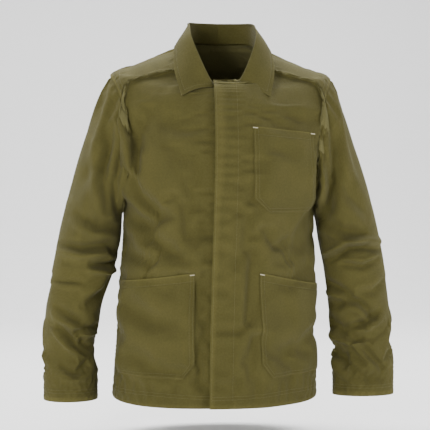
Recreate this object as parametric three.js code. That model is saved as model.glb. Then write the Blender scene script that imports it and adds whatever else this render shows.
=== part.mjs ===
// A men's cotton twill work jacket, as it hangs from the shoulders with its fronts closed.
// Millimetres, +Z up. The front faces -Y, and +X is the wearer's left.
// The origin lies midway between the two high points of the shoulders, where the neck begins.
import * as THREE from 'three';

// ---- Driving dimensions ----
const CLOTH = 1.6;                // thickness given to one layer of cloth with its seam allowances
const SEAM_GAP = 1.0;             // each piece stops this short of its seam line
const ARMHOLE_EASE = 0.2;         // a sleeve stops three cloths and this much short of its seam
const YOKE_GAP = 1.6;             // and the yoke this short of its seams
const LAYER_GAP = 0.3;            // between two layers that lie on each other
const BUTTON_EASE = 1.1;          // between a button and the buttonhole band
const POCKET_EASE = 2.2;          // slack of a patch pocket over the front under it
const SECTION_POWER = 2.3;        // squareness of the body's cross-section

const HEM_Z = -710;               // lower edge of the body
const ARMPIT_Z = -330;            // lowest point of the armhole
const CHEST_HALF_WIDTH = 200;     // half the body's width at the armpit
const HEM_HALF_WIDTH = 213;
const FRONT_DEPTH = 136;          // centre line to the front of the chest
const BACK_DEPTH = 137;           // centre line to the shoulder blades
const SHOULDER_HALF_WIDTH = 231;  // neck centre to the top of the armhole
const SHOULDER_DROP = 54;         // fall of the shoulder from the neck to the armhole
const NECK_HALF_WIDTH = 78;
const NECK_FRONT_DEPTH = 86;
const NECK_BACK_DEPTH = 62;
const NECK_MEAN_Z = -9.5;
const NECK_TILT = 53;             // the neckline falls this far at the front and rises at the back
const NECK_SIDE_RISE = 14.5;      // and rises this far at the sides

const ARMHOLE_HOLLOW_FRONT = 24;  // how far the armhole curves in towards the chest
const ARMHOLE_HOLLOW_BACK = 12;
const YOKE_FRONT_Z = -105;        // yoke seam at the front of the armhole
const YOKE_BACK_Z = -130;         // yoke seam across the back
const YOKE_NECK_ANGLE = -0.62;    // where the yoke seam meets the neckline, from the side to the front

const FLY_OVERLAP = 24;           // each front passes the centre line by this much
const FOLD_X = 48;                // the line on which a front folds open
const BUTTON_COUNT = 6;
const BUTTON_RADIUS = 8.5;
const BUTTON_THICKNESS = 2.5;
const BUTTON_TOP_Z = -112;
const BUTTON_BOTTOM_Z = -622;

const ELBOW_Z = -440;
const CUFF_Z = -715;
const SLEEVE_REACH = 166;         // outer edge of the cuff, out from the chest
const CUFF_WIDTH = { left: 130, right: 110 };
const CUFF_HALF_DEPTH = { left: 36, right: 46 };
const ELBOW_HALF_DEPTH = 54;
const CUFF_HEM = 22;              // height of the turned-up cuff hem
const HEM_TURN_UP = 22;           // height of the turned-up hem of the body

const COLLAR_STAND = 46;          // height of the collar at the back of the neck
const COLLAR_BULGE = 6;
const COLLAR_CLEARANCE = 6;

const CHEST_POCKET = { x0: 52, x1: 178, top: -163, rise: -9, height: 172, cornerX: 28, cornerZ: 30 };
const HIP_POCKET = { x0: 65, x1: 190, top: -452, rise: -27, height: 208, cornerX: 22, cornerZ: 30 };
const TACK_LENGTH = 11;
const TACK_WIDTH = 2.4;
const TACK_HEIGHT = 1;

// ---- Cloth and trimmings ----
const olive = (color) => new THREE.MeshStandardMaterial({ color, roughness: 0.92, metalness: 0 });
const shellCloth = olive(0x5f5833);
const yokeCloth = olive(0x56502f);
const sleeveCloth = olive(0x66603a);
const liningCloth = olive(0x3f3b24);
const pocketCloth = olive(0x6b643b);
const buttonResin = new THREE.MeshStandardMaterial({ color: 0x3a3826, roughness: 0.45, metalness: 0 });
const tackThread = new THREE.MeshStandardMaterial({ color: 0xc9c3a4, roughness: 0.8, metalness: 0 });

const jacket = new THREE.Group();

// ---- Small helpers ----
const lerp = (a, b, t) => a + (b - a) * t;
const smooth = (t) => t * t * (3 - 2 * t);
const signedPower = (v, p) => Math.sign(v) * Math.abs(v) ** p;

// A smooth curve through evenly numbered stations.
function through(values, s) {
  const last = values.length - 1;
  const i = Math.min(Math.max(Math.floor(s), 0), last - 1);
  const t = s - i;
  const p1 = values[i];
  const p2 = values[i + 1];
  const m1 = i > 0 ? (p2 - values[i - 1]) / 2 : p2 - p1;
  const m2 = i < last - 1 ? (values[i + 2] - p1) / 2 : p2 - p1;
  const t2 = t * t;
  const t3 = t2 * t;
  return (2 * t3 - 3 * t2 + 1) * p1 + (t3 - 2 * t2 + t) * m1 + (3 * t2 - 2 * t3) * p2 + (t3 - t2) * m2;
}

// The number between low and high where a rising function passes zero.
function solve(f, low, high) {
  for (let i = 0; i < 50; i += 1) {
    const mid = (low + high) / 2;
    if (f(mid) < 0) low = mid;
    else high = mid;
  }
  return (low + high) / 2;
}

// ---- The body of the jacket: cross-sections from the hem to the neckline ----
const TIP_Z = -SHOULDER_DROP;
const ARMHOLE_GAP = 3 * CLOTH + ARMHOLE_EASE;
const SLEEVE_OUT_X = CHEST_HALF_WIDTH + SLEEVE_REACH;
const FLANK_WIDTH = lerp(HEM_HALF_WIDTH, CHEST_HALF_WIDTH, 0.55);
const CHEST_MID_WIDTH = CHEST_HALF_WIDTH + 24;
const CHEST_TOP_WIDTH = CHEST_HALF_WIDTH + 38;
const YOKE_OUTER_WIDTH = lerp(NECK_HALF_WIDTH, SHOULDER_HALF_WIDTH, 0.66);
const stations = [
  { z: HEM_Z, wide: HEM_HALF_WIDTH, front: 148, back: 140, tilt: 0 },
  { z: lerp(HEM_Z, ARMPIT_Z, 0.33), wide: FLANK_WIDTH, front: 145, back: 130, tilt: 0 },
  { z: lerp(HEM_Z, ARMPIT_Z, 0.67), wide: CHEST_HALF_WIDTH + 2, front: FRONT_DEPTH + 3, back: 127, tilt: 0 },
  { z: ARMPIT_Z, wide: CHEST_HALF_WIDTH, front: FRONT_DEPTH, back: BACK_DEPTH - 3, tilt: 0 },
  { z: lerp(ARMPIT_Z, TIP_Z, 0.3), wide: CHEST_MID_WIDTH, front: FRONT_DEPTH - 1, back: BACK_DEPTH,
    tilt: 0.04 },
  { z: lerp(ARMPIT_Z, TIP_Z, 0.6), wide: CHEST_TOP_WIDTH, front: FRONT_DEPTH - 10, back: BACK_DEPTH - 3,
    tilt: 0.12 },
  { z: lerp(ARMPIT_Z, TIP_Z, 0.85), wide: SHOULDER_HALF_WIDTH + 14, front: 112, back: 124, tilt: 0.3 },
  { z: TIP_Z, wide: SHOULDER_HALF_WIDTH, front: 99, back: 108, tilt: 0.5 },
  { z: TIP_Z * 0.62, wide: YOKE_OUTER_WIDTH, front: 92, back: 92, tilt: 0.72 },
  { z: TIP_Z * 0.34, wide: lerp(NECK_HALF_WIDTH, SHOULDER_HALF_WIDTH, 0.3), front: 88, back: 76, tilt: 0.88 },
  { z: NECK_MEAN_Z, wide: NECK_HALF_WIDTH, front: NECK_FRONT_DEPTH, back: NECK_BACK_DEPTH, tilt: 1 },
];
const NECK = stations.length - 1;
const column = (key) => stations.map((station) => station[key]);
const levelZ = column('z');
const levelWide = column('wide');
const levelFront = column('front');
const levelBack = column('back');
const levelTilt = column('tilt');

// Angle u goes round the body: 0 at the wearer's left side, -90 degrees at the front.
function bodyPoint(u, s) {
  const c = signedPower(Math.cos(u), 2 / SECTION_POWER);
  const n = signedPower(Math.sin(u), 2 / SECTION_POWER);
  const depth = n < 0 ? through(levelFront, s) : through(levelBack, s);
  const slope = NECK_TILT * Math.sin(u) + NECK_SIDE_RISE * Math.cos(2 * u);
  const z = through(levelZ, s) + through(levelTilt, s) * slope;
  return new THREE.Vector3(through(levelWide, s) * c, depth * n, z);
}

function offsetPoint(u, s, offset) {
  const step = 1e-3;
  const high = Math.min(s + step, NECK);
  const low = Math.max(s - step, 0);
  const around = bodyPoint(u + step, s).sub(bodyPoint(u - step, s));
  const up = bodyPoint(u, high).sub(bodyPoint(u, low));
  const out = around.cross(up).normalize();
  return bodyPoint(u, s).addScaledVector(out, offset);
}

// The place on the body at a given x and z, on the front or the back.
function locate(x, z, back = false) {
  const sign = back ? 1 : -1;
  const middle = sign * Math.PI / 2;
  let u = middle;
  let s = 0;
  for (let i = 0; i < 12; i += 1) {
    const here = u;
    s = solve((level) => bodyPoint(here, level).z - z, 0, NECK);
    const ratio = Math.min(Math.abs(x) / through(levelWide, s), 1);
    const turn = Math.acos(ratio ** (SECTION_POWER / 2));
    u = sign * (x >= 0 ? turn : Math.PI - turn);
  }
  return { u, s };
}

// ---- Seam lines ----
function armholeX(z, back) {
  const t = (z - TIP_Z) / (ARMPIT_Z - TIP_Z);
  const hollow = back ? ARMHOLE_HOLLOW_BACK : ARMHOLE_HOLLOW_FRONT;
  return lerp(SHOULDER_HALF_WIDTH, CHEST_HALF_WIDTH, t) - hollow * Math.sin(Math.PI * t ** 0.8);
}

function armholePlace(z, back) {
  if (z >= TIP_Z - 1e-6) {
    const tip = solve((level) => SHOULDER_HALF_WIDTH - bodyPoint(0, level).x, 6.5, NECK);
    return { u: 0, s: tip };
  }
  if (z <= ARMPIT_Z + 1e-6) return { u: 0, s: 3 };
  return locate(armholeX(z, back), z, back);
}

const mix = (a, b, t) => ({ u: lerp(a.u, b.u, t), s: lerp(a.s, b.s, t) });
const frontCorner = armholePlace(YOKE_FRONT_Z, false);
const backCorner = armholePlace(YOKE_BACK_Z, true);
const neckCorner = { u: YOKE_NECK_ANGLE, s: NECK };

function frontLine(x, q) {
  const s = q * NECK;
  const ratio = Math.abs(x) / through(levelWide, s);
  const turn = Math.acos(ratio ** (SECTION_POWER / 2));
  return { u: x >= 0 ? -turn : turn - Math.PI, s };
}

// A patch between four seam lines, in the body's own (u, s) coordinates.
function coons(bottom, top, left, right) {
  return (p, q) => {
    const out = {};
    for (const key of ['u', 's']) {
      const ruled = lerp(bottom(p)[key], top(p)[key], q) + lerp(left(q)[key], right(q)[key], p);
      const low = lerp(bottom(0)[key], bottom(1)[key], p);
      const high = lerp(top(0)[key], top(1)[key], p);
      out[key] = ruled - lerp(low, high, q);
    }
    return out;
  };
}

// ---- Closed sheets ----
// place(p, q, offset) gives a point. The sheet is a grid on its outer and inner face with a rim between.
function sheetGeometry(columns, rows, place, inner, outer, inset = SEAM_GAP) {
  const positions = [];
  const index = [];
  const face = (offset) => {
    const grid = [];
    for (let j = 0; j <= rows; j += 1) {
      for (let i = 0; i <= columns; i += 1) grid.push(place(i / columns, j / rows, offset));
    }
    const at = (i, j) => grid[j * (columns + 1) + i];
    const pull = (point, toward) => point.add(toward.clone().sub(point).setLength(inset));
    for (let j = 0; j <= rows; j += 1) {
      pull(at(0, j), at(1, j));
      pull(at(columns, j), at(columns - 1, j));
    }
    for (let i = 0; i <= columns; i += 1) {
      pull(at(i, 0), at(i, 1));
      pull(at(i, rows), at(i, rows - 1));
    }
    return grid;
  };
  for (const offset of [outer, inner]) face(offset).forEach((p) => positions.push(p.x, p.y, p.z));
  const base = (columns + 1) * (rows + 1);
  const id = (i, j, layer) => layer * base + j * (columns + 1) + i;
  const quad = (a, b, c, d) => index.push(a, b, c, a, c, d);
  for (let j = 0; j < rows; j += 1) {
    for (let i = 0; i < columns; i += 1) {
      quad(id(i, j, 0), id(i + 1, j, 0), id(i + 1, j + 1, 0), id(i, j + 1, 0));
      quad(id(i, j, 1), id(i, j + 1, 1), id(i + 1, j + 1, 1), id(i + 1, j, 1));
    }
  }
  for (let i = 0; i < columns; i += 1) {
    quad(id(i, 0, 1), id(i + 1, 0, 1), id(i + 1, 0, 0), id(i, 0, 0));
    quad(id(i, rows, 0), id(i + 1, rows, 0), id(i + 1, rows, 1), id(i, rows, 1));
  }
  for (let j = 0; j < rows; j += 1) {
    quad(id(0, j, 0), id(0, j + 1, 0), id(0, j + 1, 1), id(0, j, 1));
    quad(id(columns, j, 1), id(columns, j + 1, 1), id(columns, j + 1, 0), id(columns, j, 0));
  }
  return finished(positions, index);
}

// A tube round v with its two ends open.
function tubeGeometry(around, rows, place, inner, outer, topInset = SEAM_GAP) {
  const positions = [];
  const index = [];
  for (const offset of [outer, inner]) {
    const grid = [];
    for (let j = 0; j <= rows; j += 1) {
      for (let i = 0; i < around; i += 1) grid.push(place(i / around, j / rows, offset));
    }
    for (let i = 0; i < around; i += 1) {
      const first = grid[i];
      const last = grid[rows * around + i];
      first.add(grid[around + i].clone().sub(first).setLength(topInset));
      last.add(grid[(rows - 1) * around + i].clone().sub(last).setLength(SEAM_GAP));
    }
    grid.forEach((p) => positions.push(p.x, p.y, p.z));
  }
  const base = around * (rows + 1);
  const id = (i, j, layer) => layer * base + j * around + (i % around);
  const quad = (a, b, c, d) => index.push(a, b, c, a, c, d);
  for (let i = 0; i < around; i += 1) {
    for (let j = 0; j < rows; j += 1) {
      quad(id(i, j, 0), id(i + 1, j, 0), id(i + 1, j + 1, 0), id(i, j + 1, 0));
      quad(id(i, j, 1), id(i, j + 1, 1), id(i + 1, j + 1, 1), id(i + 1, j, 1));
    }
    quad(id(i, 0, 1), id(i + 1, 0, 1), id(i + 1, 0, 0), id(i, 0, 0));
    quad(id(i, rows, 0), id(i + 1, rows, 0), id(i + 1, rows, 1), id(i, rows, 1));
  }
  return finished(positions, index);
}

// Faces are turned outwards if the grid ran the other way.
function finished(positions, index) {
  let volume = 0;
  const at = (i) => new THREE.Vector3(positions[3 * i], positions[3 * i + 1], positions[3 * i + 2]);
  for (let i = 0; i < index.length; i += 3) {
    volume += at(index[i]).dot(at(index[i + 1]).cross(at(index[i + 2])));
  }
  if (volume < 0) {
    for (let i = 0; i < index.length; i += 3) [index[i], index[i + 1]] = [index[i + 1], index[i]];
  }
  const geometry = new THREE.BufferGeometry();
  geometry.setAttribute('position', new THREE.Float32BufferAttribute(positions, 3));
  geometry.setIndex(index);
  geometry.computeVertexNormals();
  return geometry;
}

function addPiece(name, geometry, material) {
  const mesh = new THREE.Mesh(geometry, material);
  mesh.name = name;
  jacket.add(mesh);
  return mesh;
}

// The wearer's right side is the left one mirrored in x.
const sides = [{ name: 'left', sign: 1 }, { name: 'right', sign: -1 }];
const mirrored = (point, sign) => new THREE.Vector3(point.x * sign, point.y, point.z);

// ---- Fronts ----
const armholeFront = (t) => armholePlace(lerp(ARMPIT_Z, YOKE_FRONT_Z, t), false);
const armholeBack = (t) => armholePlace(lerp(ARMPIT_Z, YOKE_BACK_Z, t), true);
const ARMPIT_SHARE = 0.6;         // share of a side edge that is side seam, the rest is armhole
const NECK_SHARE = 0.25;          // share of a front's top edge that is neckline

function frontPatch() {
  const inner = (q) => frontLine(FOLD_X, q);
  const side = (q) => (q < ARMPIT_SHARE
    ? { u: 0, s: 3 * q / ARMPIT_SHARE }
    : armholeFront((q - ARMPIT_SHARE) / (1 - ARMPIT_SHARE)));
  const neckStart = frontLine(FOLD_X, 1);
  const top = (p) => (p < NECK_SHARE
    ? mix(neckStart, neckCorner, p / NECK_SHARE)
    : mix(neckCorner, frontCorner, (p - NECK_SHARE) / (1 - NECK_SHARE)));
  const hem = (p) => ({ u: lerp(inner(0).u, 0, p), s: 0 });
  return coons(hem, top, inner, side);
}

const frontAt = frontPatch();
for (const { name, sign } of sides) {
  const place = (p, q, offset) => {
    const { u, s } = frontAt(p, q);
    return mirrored(offsetPoint(u, s, offset), sign);
  };
  addPiece(`${name}_front_panel`, sheetGeometry(12, 22, place, 0, CLOTH), shellCloth);
}

// The free edges of the fronts, which lie over each other: the wearer's left one is outside.
const STAND_OUTER = CLOTH;
const BUTTON_SEAT = STAND_OUTER + LAYER_GAP;
const BAND_INNER = BUTTON_SEAT + BUTTON_THICKNESS + BUTTON_EASE;
const COVER_INNER = BAND_INNER + CLOTH + LAYER_GAP;
const EDGE_ROWS = 15;

function edgeStrip(xFrom, xTo, inner, outer, topDrop) {
  const place = (p, q, offset) => {
    const { u, s } = frontLine(lerp(xFrom, xTo, p), q * (1 - topDrop));
    return offsetPoint(u, s, offset);
  };
  return sheetGeometry(4, EDGE_ROWS, place, inner, outer);
}

const NECK_EDGE_DROP = 0.004;
const coverStrip = edgeStrip(-FLY_OVERLAP, FOLD_X, COVER_INNER, COVER_INNER + CLOTH, NECK_EDGE_DROP);
addPiece('left_fly_cover', coverStrip, shellCloth);
const bandStrip = edgeStrip(2 - FLY_OVERLAP, FLY_OVERLAP, BAND_INNER, BAND_INNER + CLOTH, NECK_EDGE_DROP * 2);
addPiece('left_buttonhole_band', bandStrip, liningCloth);
addPiece('right_button_stand', edgeStrip(-FOLD_X, FLY_OVERLAP, 0, CLOTH, NECK_EDGE_DROP), shellCloth);

// ---- Buttons on the stand, under the fly ----
for (let i = 0; i < BUTTON_COUNT; i += 1) {
  const z = lerp(BUTTON_TOP_Z, BUTTON_BOTTOM_Z, i / (BUTTON_COUNT - 1));
  const { u, s } = locate(0, z);
  const seat = offsetPoint(u, s, BUTTON_SEAT + BUTTON_THICKNESS / 2);
  const out = offsetPoint(u, s, 1).sub(offsetPoint(u, s, 0)).normalize();
  const profile = [
    new THREE.Vector2(0, -BUTTON_THICKNESS / 2),
    new THREE.Vector2(BUTTON_RADIUS - 1, -BUTTON_THICKNESS / 2),
    new THREE.Vector2(BUTTON_RADIUS, 0),
    new THREE.Vector2(BUTTON_RADIUS - 1, BUTTON_THICKNESS / 2),
    new THREE.Vector2(BUTTON_RADIUS - 3, BUTTON_THICKNESS / 2 - 0.5),
    new THREE.Vector2(0, BUTTON_THICKNESS / 2 - 0.5),
  ];
  const button = addPiece(`button_${i + 1}`, new THREE.LatheGeometry(profile, 12), buttonResin);
  button.quaternion.setFromUnitVectors(new THREE.Vector3(0, 1, 0), out);
  button.position.copy(seat);
}

// ---- Back and yoke ----
function backPatch() {
  const turned = (place) => ({ u: Math.PI - place.u, s: place.s });
  const leftSide = (q) => (q < ARMPIT_SHARE
    ? { u: 0, s: 3 * q / ARMPIT_SHARE }
    : armholeBack((q - ARMPIT_SHARE) / (1 - ARMPIT_SHARE)));
  const rightSide = (q) => turned(leftSide(q));
  const hem = (p) => ({ u: Math.PI * p, s: 0 });
  const top = (p) => ({ u: lerp(backCorner.u, Math.PI - backCorner.u, p), s: backCorner.s });
  return coons(hem, top, leftSide, rightSide);
}

const backAt = backPatch();
const backPlace = (p, q, offset) => {
  const { u, s } = backAt(p, q);
  return offsetPoint(u, s, offset);
};
addPiece('back_panel', sheetGeometry(20, 15, backPlace, 0, CLOTH), shellCloth);

// The yoke is one piece round the neck, from one front seam over the shoulders to the other.
function yokeEdges(k) {
  const half = k <= 0.5 ? k : 1 - k;
  const turnAt = 0.15;
  const cornerAt = 0.3;
  const neckSide = { u: 0, s: NECK };
  const neckBack = { u: 0.95, s: NECK };
  let neck;
  let outer;
  if (half < turnAt) {
    const t = half / turnAt;
    neck = mix(neckCorner, neckSide, t);
    outer = armholePlace(lerp(YOKE_FRONT_Z, TIP_Z, t), false);
  } else if (half < cornerAt) {
    const t = (half - turnAt) / (cornerAt - turnAt);
    neck = mix(neckSide, neckBack, t);
    outer = armholePlace(lerp(TIP_Z, YOKE_BACK_Z, t), true);
  } else {
    const t = (half - cornerAt) / (0.5 - cornerAt);
    neck = mix(neckBack, { u: Math.PI / 2, s: NECK }, t);
    outer = mix(backCorner, { u: Math.PI / 2, s: backCorner.s }, t);
  }
  if (k <= 0.5) return { neck, outer };
  const turned = (place) => ({ u: Math.PI - place.u, s: place.s });
  return { neck: turned(neck), outer: turned(outer) };
}

const yokePlace = (p, q, offset) => {
  const { neck, outer } = yokeEdges(p);
  const { u, s } = mix(outer, neck, q);
  return offsetPoint(u, s, offset);
};
addPiece('back_yoke', sheetGeometry(40, 6, yokePlace, 0, CLOTH, YOKE_GAP), yokeCloth);

// ---- Turned-up hems inside the lower edge ----
const hemLevel = HEM_TURN_UP / (levelZ[1] - levelZ[0]);
const HEM_INNER = -LAYER_GAP - 0.6 - CLOTH;
const HEM_OUTER = -LAYER_GAP - 0.6;
for (const { name, sign } of sides) {
  const start = frontLine(FOLD_X, 0).u;
  const place = (p, q, offset) => mirrored(offsetPoint(lerp(start, 0, p), q * hemLevel, offset), sign);
  addPiece(`${name}_front_hem`, sheetGeometry(12, 1, place, HEM_INNER, HEM_OUTER), liningCloth);
}
const backHemPlace = (p, q, offset) => offsetPoint(Math.PI * p, q * hemLevel, offset);
addPiece('back_hem', sheetGeometry(20, 1, backHemPlace, HEM_INNER, HEM_OUTER), liningCloth);

// ---- Sleeves: cross-sections between an outer and an inner line, from armhole to cuff ----
const SLEEVE_AROUND = 20;
const sleeveOuterX = [SHOULDER_HALF_WIDTH, SLEEVE_OUT_X - 103, SLEEVE_OUT_X - 74, SLEEVE_OUT_X - 48,
  SLEEVE_OUT_X - 25, SLEEVE_OUT_X - 13, SLEEVE_OUT_X - 3, SLEEVE_OUT_X, SLEEVE_OUT_X];
const sleeveOuterZ = [TIP_Z, -108, -184, -270, ELBOW_Z + 75, ELBOW_Z + 5, ELBOW_Z - 75, CUFF_Z + 100, CUFF_Z];

function sleeveLine(name, t) {
  const s = t * 8;
  const cuffIn = SLEEVE_OUT_X - CUFF_WIDTH[name];
  const cuffPull = (SLEEVE_OUT_X - cuffIn - 120) / 120;
  const tight = CHEST_HALF_WIDTH;
  const innerX = [tight, tight + 11, tight + 13, tight + 14, tight + 16, tight + 26 - 6 * cuffPull,
    cuffIn - 6, cuffIn, cuffIn];
  const innerZ = [ARMPIT_Z, ARMPIT_Z - 1, ARMPIT_Z - 14, ARMPIT_Z - 32, ELBOW_Z + 48, ELBOW_Z - 4,
    ELBOW_Z - 84, CUFF_Z + 95, CUFF_Z];
  const halfDepth = [0, 74, 71, 66, 60, ELBOW_HALF_DEPTH, 55, 47, CUFF_HALF_DEPTH[name]];
  return {
    outer: new THREE.Vector3(through(sleeveOuterX, s), 0, through(sleeveOuterZ, s)),
    inner: new THREE.Vector3(through(innerX, s), 0, through(innerZ, s)),
    depth: through(halfDepth, Math.max(s, 0.9)),
    shift: lerp(6, -12, smooth(t)),
  };
}

// The first cross-section is the armhole itself, and it turns into an oval within a hand's width.
function sleevePoint(name, v, t) {
  const angle = v * 2 * Math.PI;
  const share = (1 - Math.cos(angle)) / 2;
  const back = angle > Math.PI;
  const line = sleeveLine(name, t);
  const point = line.outer.clone().lerp(line.inner, share);
  const oval = -line.depth * Math.sin(angle) + line.shift;
  const z = lerp(TIP_Z, ARMPIT_Z, share);
  const hole = armholePlace(z, back);
  const seam = bodyPoint(hole.u, hole.s);
  const leave = Math.min(t / 0.3, 1);
  const weight = 1 - smooth(leave);
  point.y = lerp(oval, seam.y, weight);
  const straight = lerp(SHOULDER_HALF_WIDTH, CHEST_HALF_WIDTH, share);
  point.x += (seam.x - straight) * weight;
  return point;
}

function sleeveOffset(name, v, t, offset) {
  const step = 2e-3;
  const a = sleevePoint(name, v + step, t).sub(sleevePoint(name, v - step, t));
  const b = sleevePoint(name, v, Math.min(t + step, 1)).sub(sleevePoint(name, v, Math.max(t - step, 0)));
  const out = b.cross(a).normalize();
  const point = sleevePoint(name, v, t);
  const line = sleeveLine(name, t);
  const middle = line.outer.clone().add(line.inner).multiplyScalar(0.5);
  if (out.dot(point.clone().sub(middle)) < 0) out.negate();
  return point.addScaledVector(out, offset);
}

const ELBOW_T = 5 / 8;
const CUFF_T = 1 - CUFF_HEM / 100 / 8;
for (const { name, sign } of sides) {
  const part = (from, to) => (p, q, offset) =>
    mirrored(sleeveOffset(name, p, lerp(from, to, q), offset), sign);
  const upper = tubeGeometry(SLEEVE_AROUND, 8, part(0, ELBOW_T), 0, CLOTH, ARMHOLE_GAP);
  addPiece(`${name}_upper_sleeve`, upper, sleeveCloth);
  const lower = tubeGeometry(SLEEVE_AROUND, 7, part(ELBOW_T, 1), 0, CLOTH);
  addPiece(`${name}_lower_sleeve`, lower, sleeveCloth);
  const cuff = tubeGeometry(SLEEVE_AROUND, 1, part(CUFF_T, 1), HEM_INNER, HEM_OUTER);
  addPiece(`${name}_cuff_hem`, cuff, liningCloth);
}

// ---- Collar: a standing inner part and a leaf that falls outside it ----
// Half of the roll line, from the front end to the back of the neck, and the leaf's free edge.
const rollX = [FLY_OVERLAP, 44, 64, 66, 44, 0];
const rollY = [-NECK_FRONT_DEPTH - 6, -72, -32, 14, 44, NECK_BACK_DEPTH - 6];
const rollZ = [-80, -32, 24, 56, 70, 29 + COLLAR_STAND];
const edgeX = [90, 101, 101, 92, 58, 0];
const edgeY = [-106, -70, -22, 36, 74, NECK_BACK_DEPTH + 24];
const edgeZ = [-99, -48, -2, 12, 16, 18];

function mirroredCurve(xs, ys, zs, p) {
  const half = p <= 0.5 ? p : 1 - p;
  const s = half * 2 * (xs.length - 1);
  const sign = p <= 0.5 ? 1 : -1;
  return new THREE.Vector3(sign * through(xs, s), through(ys, s), through(zs, s));
}

function clearOfBody(point, gap) {
  const place = locate(point.x, Math.min(point.z, -60));
  const surface = bodyPoint(place.u, place.s);
  if (point.y < -80) point.y = Math.min(point.y, surface.y - gap);
  const reach = (level) => (Math.abs(point.x) / through(levelWide, level)) ** SECTION_POWER
    + (Math.abs(point.y) / through(point.y < 0 ? levelFront : levelBack, level)) ** SECTION_POWER - 1;
  if (reach(NECK) > 0 && point.y > -60) {
    const level = solve(reach, 5, NECK);
    const wide = Math.min(Math.abs(point.x) / through(levelWide, level), 1);
    const turn = Math.acos(wide ** (SECTION_POWER / 2)) * (point.y < 0 ? -1 : 1);
    point.z = Math.max(point.z, bodyPoint(turn, level).z + gap * 0.6);
  }
  return point;
}

const LEAF_LIFT = BAND_INNER + 2 * CLOTH + LAYER_GAP + COLLAR_CLEARANCE;
function leafPlace(p, q, offset) {
  const roll = mirroredCurve(rollX, rollY, rollZ, p);
  const edge = mirroredCurve(edgeX, edgeY, edgeZ, p);
  const point = roll.lerp(edge, q);
  const out = new THREE.Vector3(point.x, point.y * 1.1, 40).normalize();
  point.addScaledVector(out, offset + COLLAR_BULGE * Math.sin(Math.PI * Math.min(q + 0.15, 1)));
  return clearOfBody(point, LEAF_LIFT + offset);
}
addPiece('upper_collar', sheetGeometry(24, 4, leafPlace, 0, CLOTH, 0.4), shellCloth);

const collarEndAngle = frontLine(FLY_OVERLAP, 1).u;
function standPlace(p, q, offset) {
  const u = lerp(collarEndAngle, Math.PI - collarEndAngle, p);
  const base = bodyPoint(u, NECK);
  base.z += 3;
  const roll = mirroredCurve(rollX, rollY, rollZ, p);
  const inward = new THREE.Vector3(-roll.x, -roll.y, 0).normalize();
  roll.addScaledVector(inward, COLLAR_CLEARANCE);
  roll.z -= 2;
  base.addScaledVector(inward, 1.5);
  return base.lerp(roll, q).addScaledVector(inward, -offset);
}
addPiece('under_collar', sheetGeometry(24, 3, standPlace, 0, CLOTH, 0.4), liningCloth);

// ---- Patch pockets with a cut-off lower front corner ----
function pocketPatch({ x0, x1, top, rise, height, cornerX, cornerZ }, sign, lift) {
  const corner = cornerX / (x1 - x0);
  return (p, q, offset) => {
    const x = lerp(x0, x1, p);
    const cut = p < corner ? cornerZ * (1 - p / corner) : 0;
    const low = top - height + cut;
    const high = top + rise * p;
    const { u, s } = locate(x, lerp(low, high, q));
    const edge = Math.min(p, 1 - p, q) * 6;
    const ease = lift * Math.min(edge, 1);
    return mirrored(offsetPoint(u, s, offset + ease), sign);
  };
}

const POCKET_INNER = CLOTH + 1.8;
const pocketPieces = [
  { name: 'left_chest_pocket', size: CHEST_POCKET, sign: 1 },
  { name: 'left_hip_pocket', size: HIP_POCKET, sign: 1 },
  { name: 'right_hip_pocket', size: HIP_POCKET, sign: -1 },
];
for (const { name, size, sign } of pocketPieces) {
  const place = pocketPatch(size, sign, POCKET_EASE);
  addPiece(name, sheetGeometry(9, 8, place, POCKET_INNER, POCKET_INNER + CLOTH, 0), pocketCloth);
}

// ---- Bar tacks at the ends of the pocket mouths ----
function addTack(name, x, z, sign) {
  const { u, s } = locate(x, z);
  const lift = POCKET_INNER + CLOTH + POCKET_EASE + 0.9 + TACK_HEIGHT / 2;
  const tack = addPiece(name, new THREE.BoxGeometry(TACK_LENGTH, TACK_HEIGHT, TACK_WIDTH), tackThread);
  const out = offsetPoint(u, s, 1).sub(offsetPoint(u, s, 0)).normalize();
  tack.quaternion.setFromUnitVectors(new THREE.Vector3(0, -1, 0), mirrored(out, sign));
  tack.position.copy(mirrored(offsetPoint(u, s, lift), sign));
}
const TACK_IN = 7;
const TACK_DROP = 2;
addTack('chest_tack_front', CHEST_POCKET.x0 + TACK_IN, CHEST_POCKET.top - TACK_DROP, 1);
addTack('chest_tack_side', CHEST_POCKET.x1 - TACK_IN, CHEST_POCKET.top + CHEST_POCKET.rise - TACK_DROP, 1);
addTack('left_hip_tack', HIP_POCKET.x0 + TACK_IN, HIP_POCKET.top - TACK_DROP - 1, 1);
addTack('right_hip_tack', HIP_POCKET.x0 + TACK_IN, HIP_POCKET.top - TACK_DROP - 1, -1);

export default jacket;
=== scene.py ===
# A men's olive cotton twill work jacket, filled out as if worn, with nobody in it.
import math
import bpy
import numpy as np
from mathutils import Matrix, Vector
from mathutils.bvhtree import BVHTree


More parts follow.
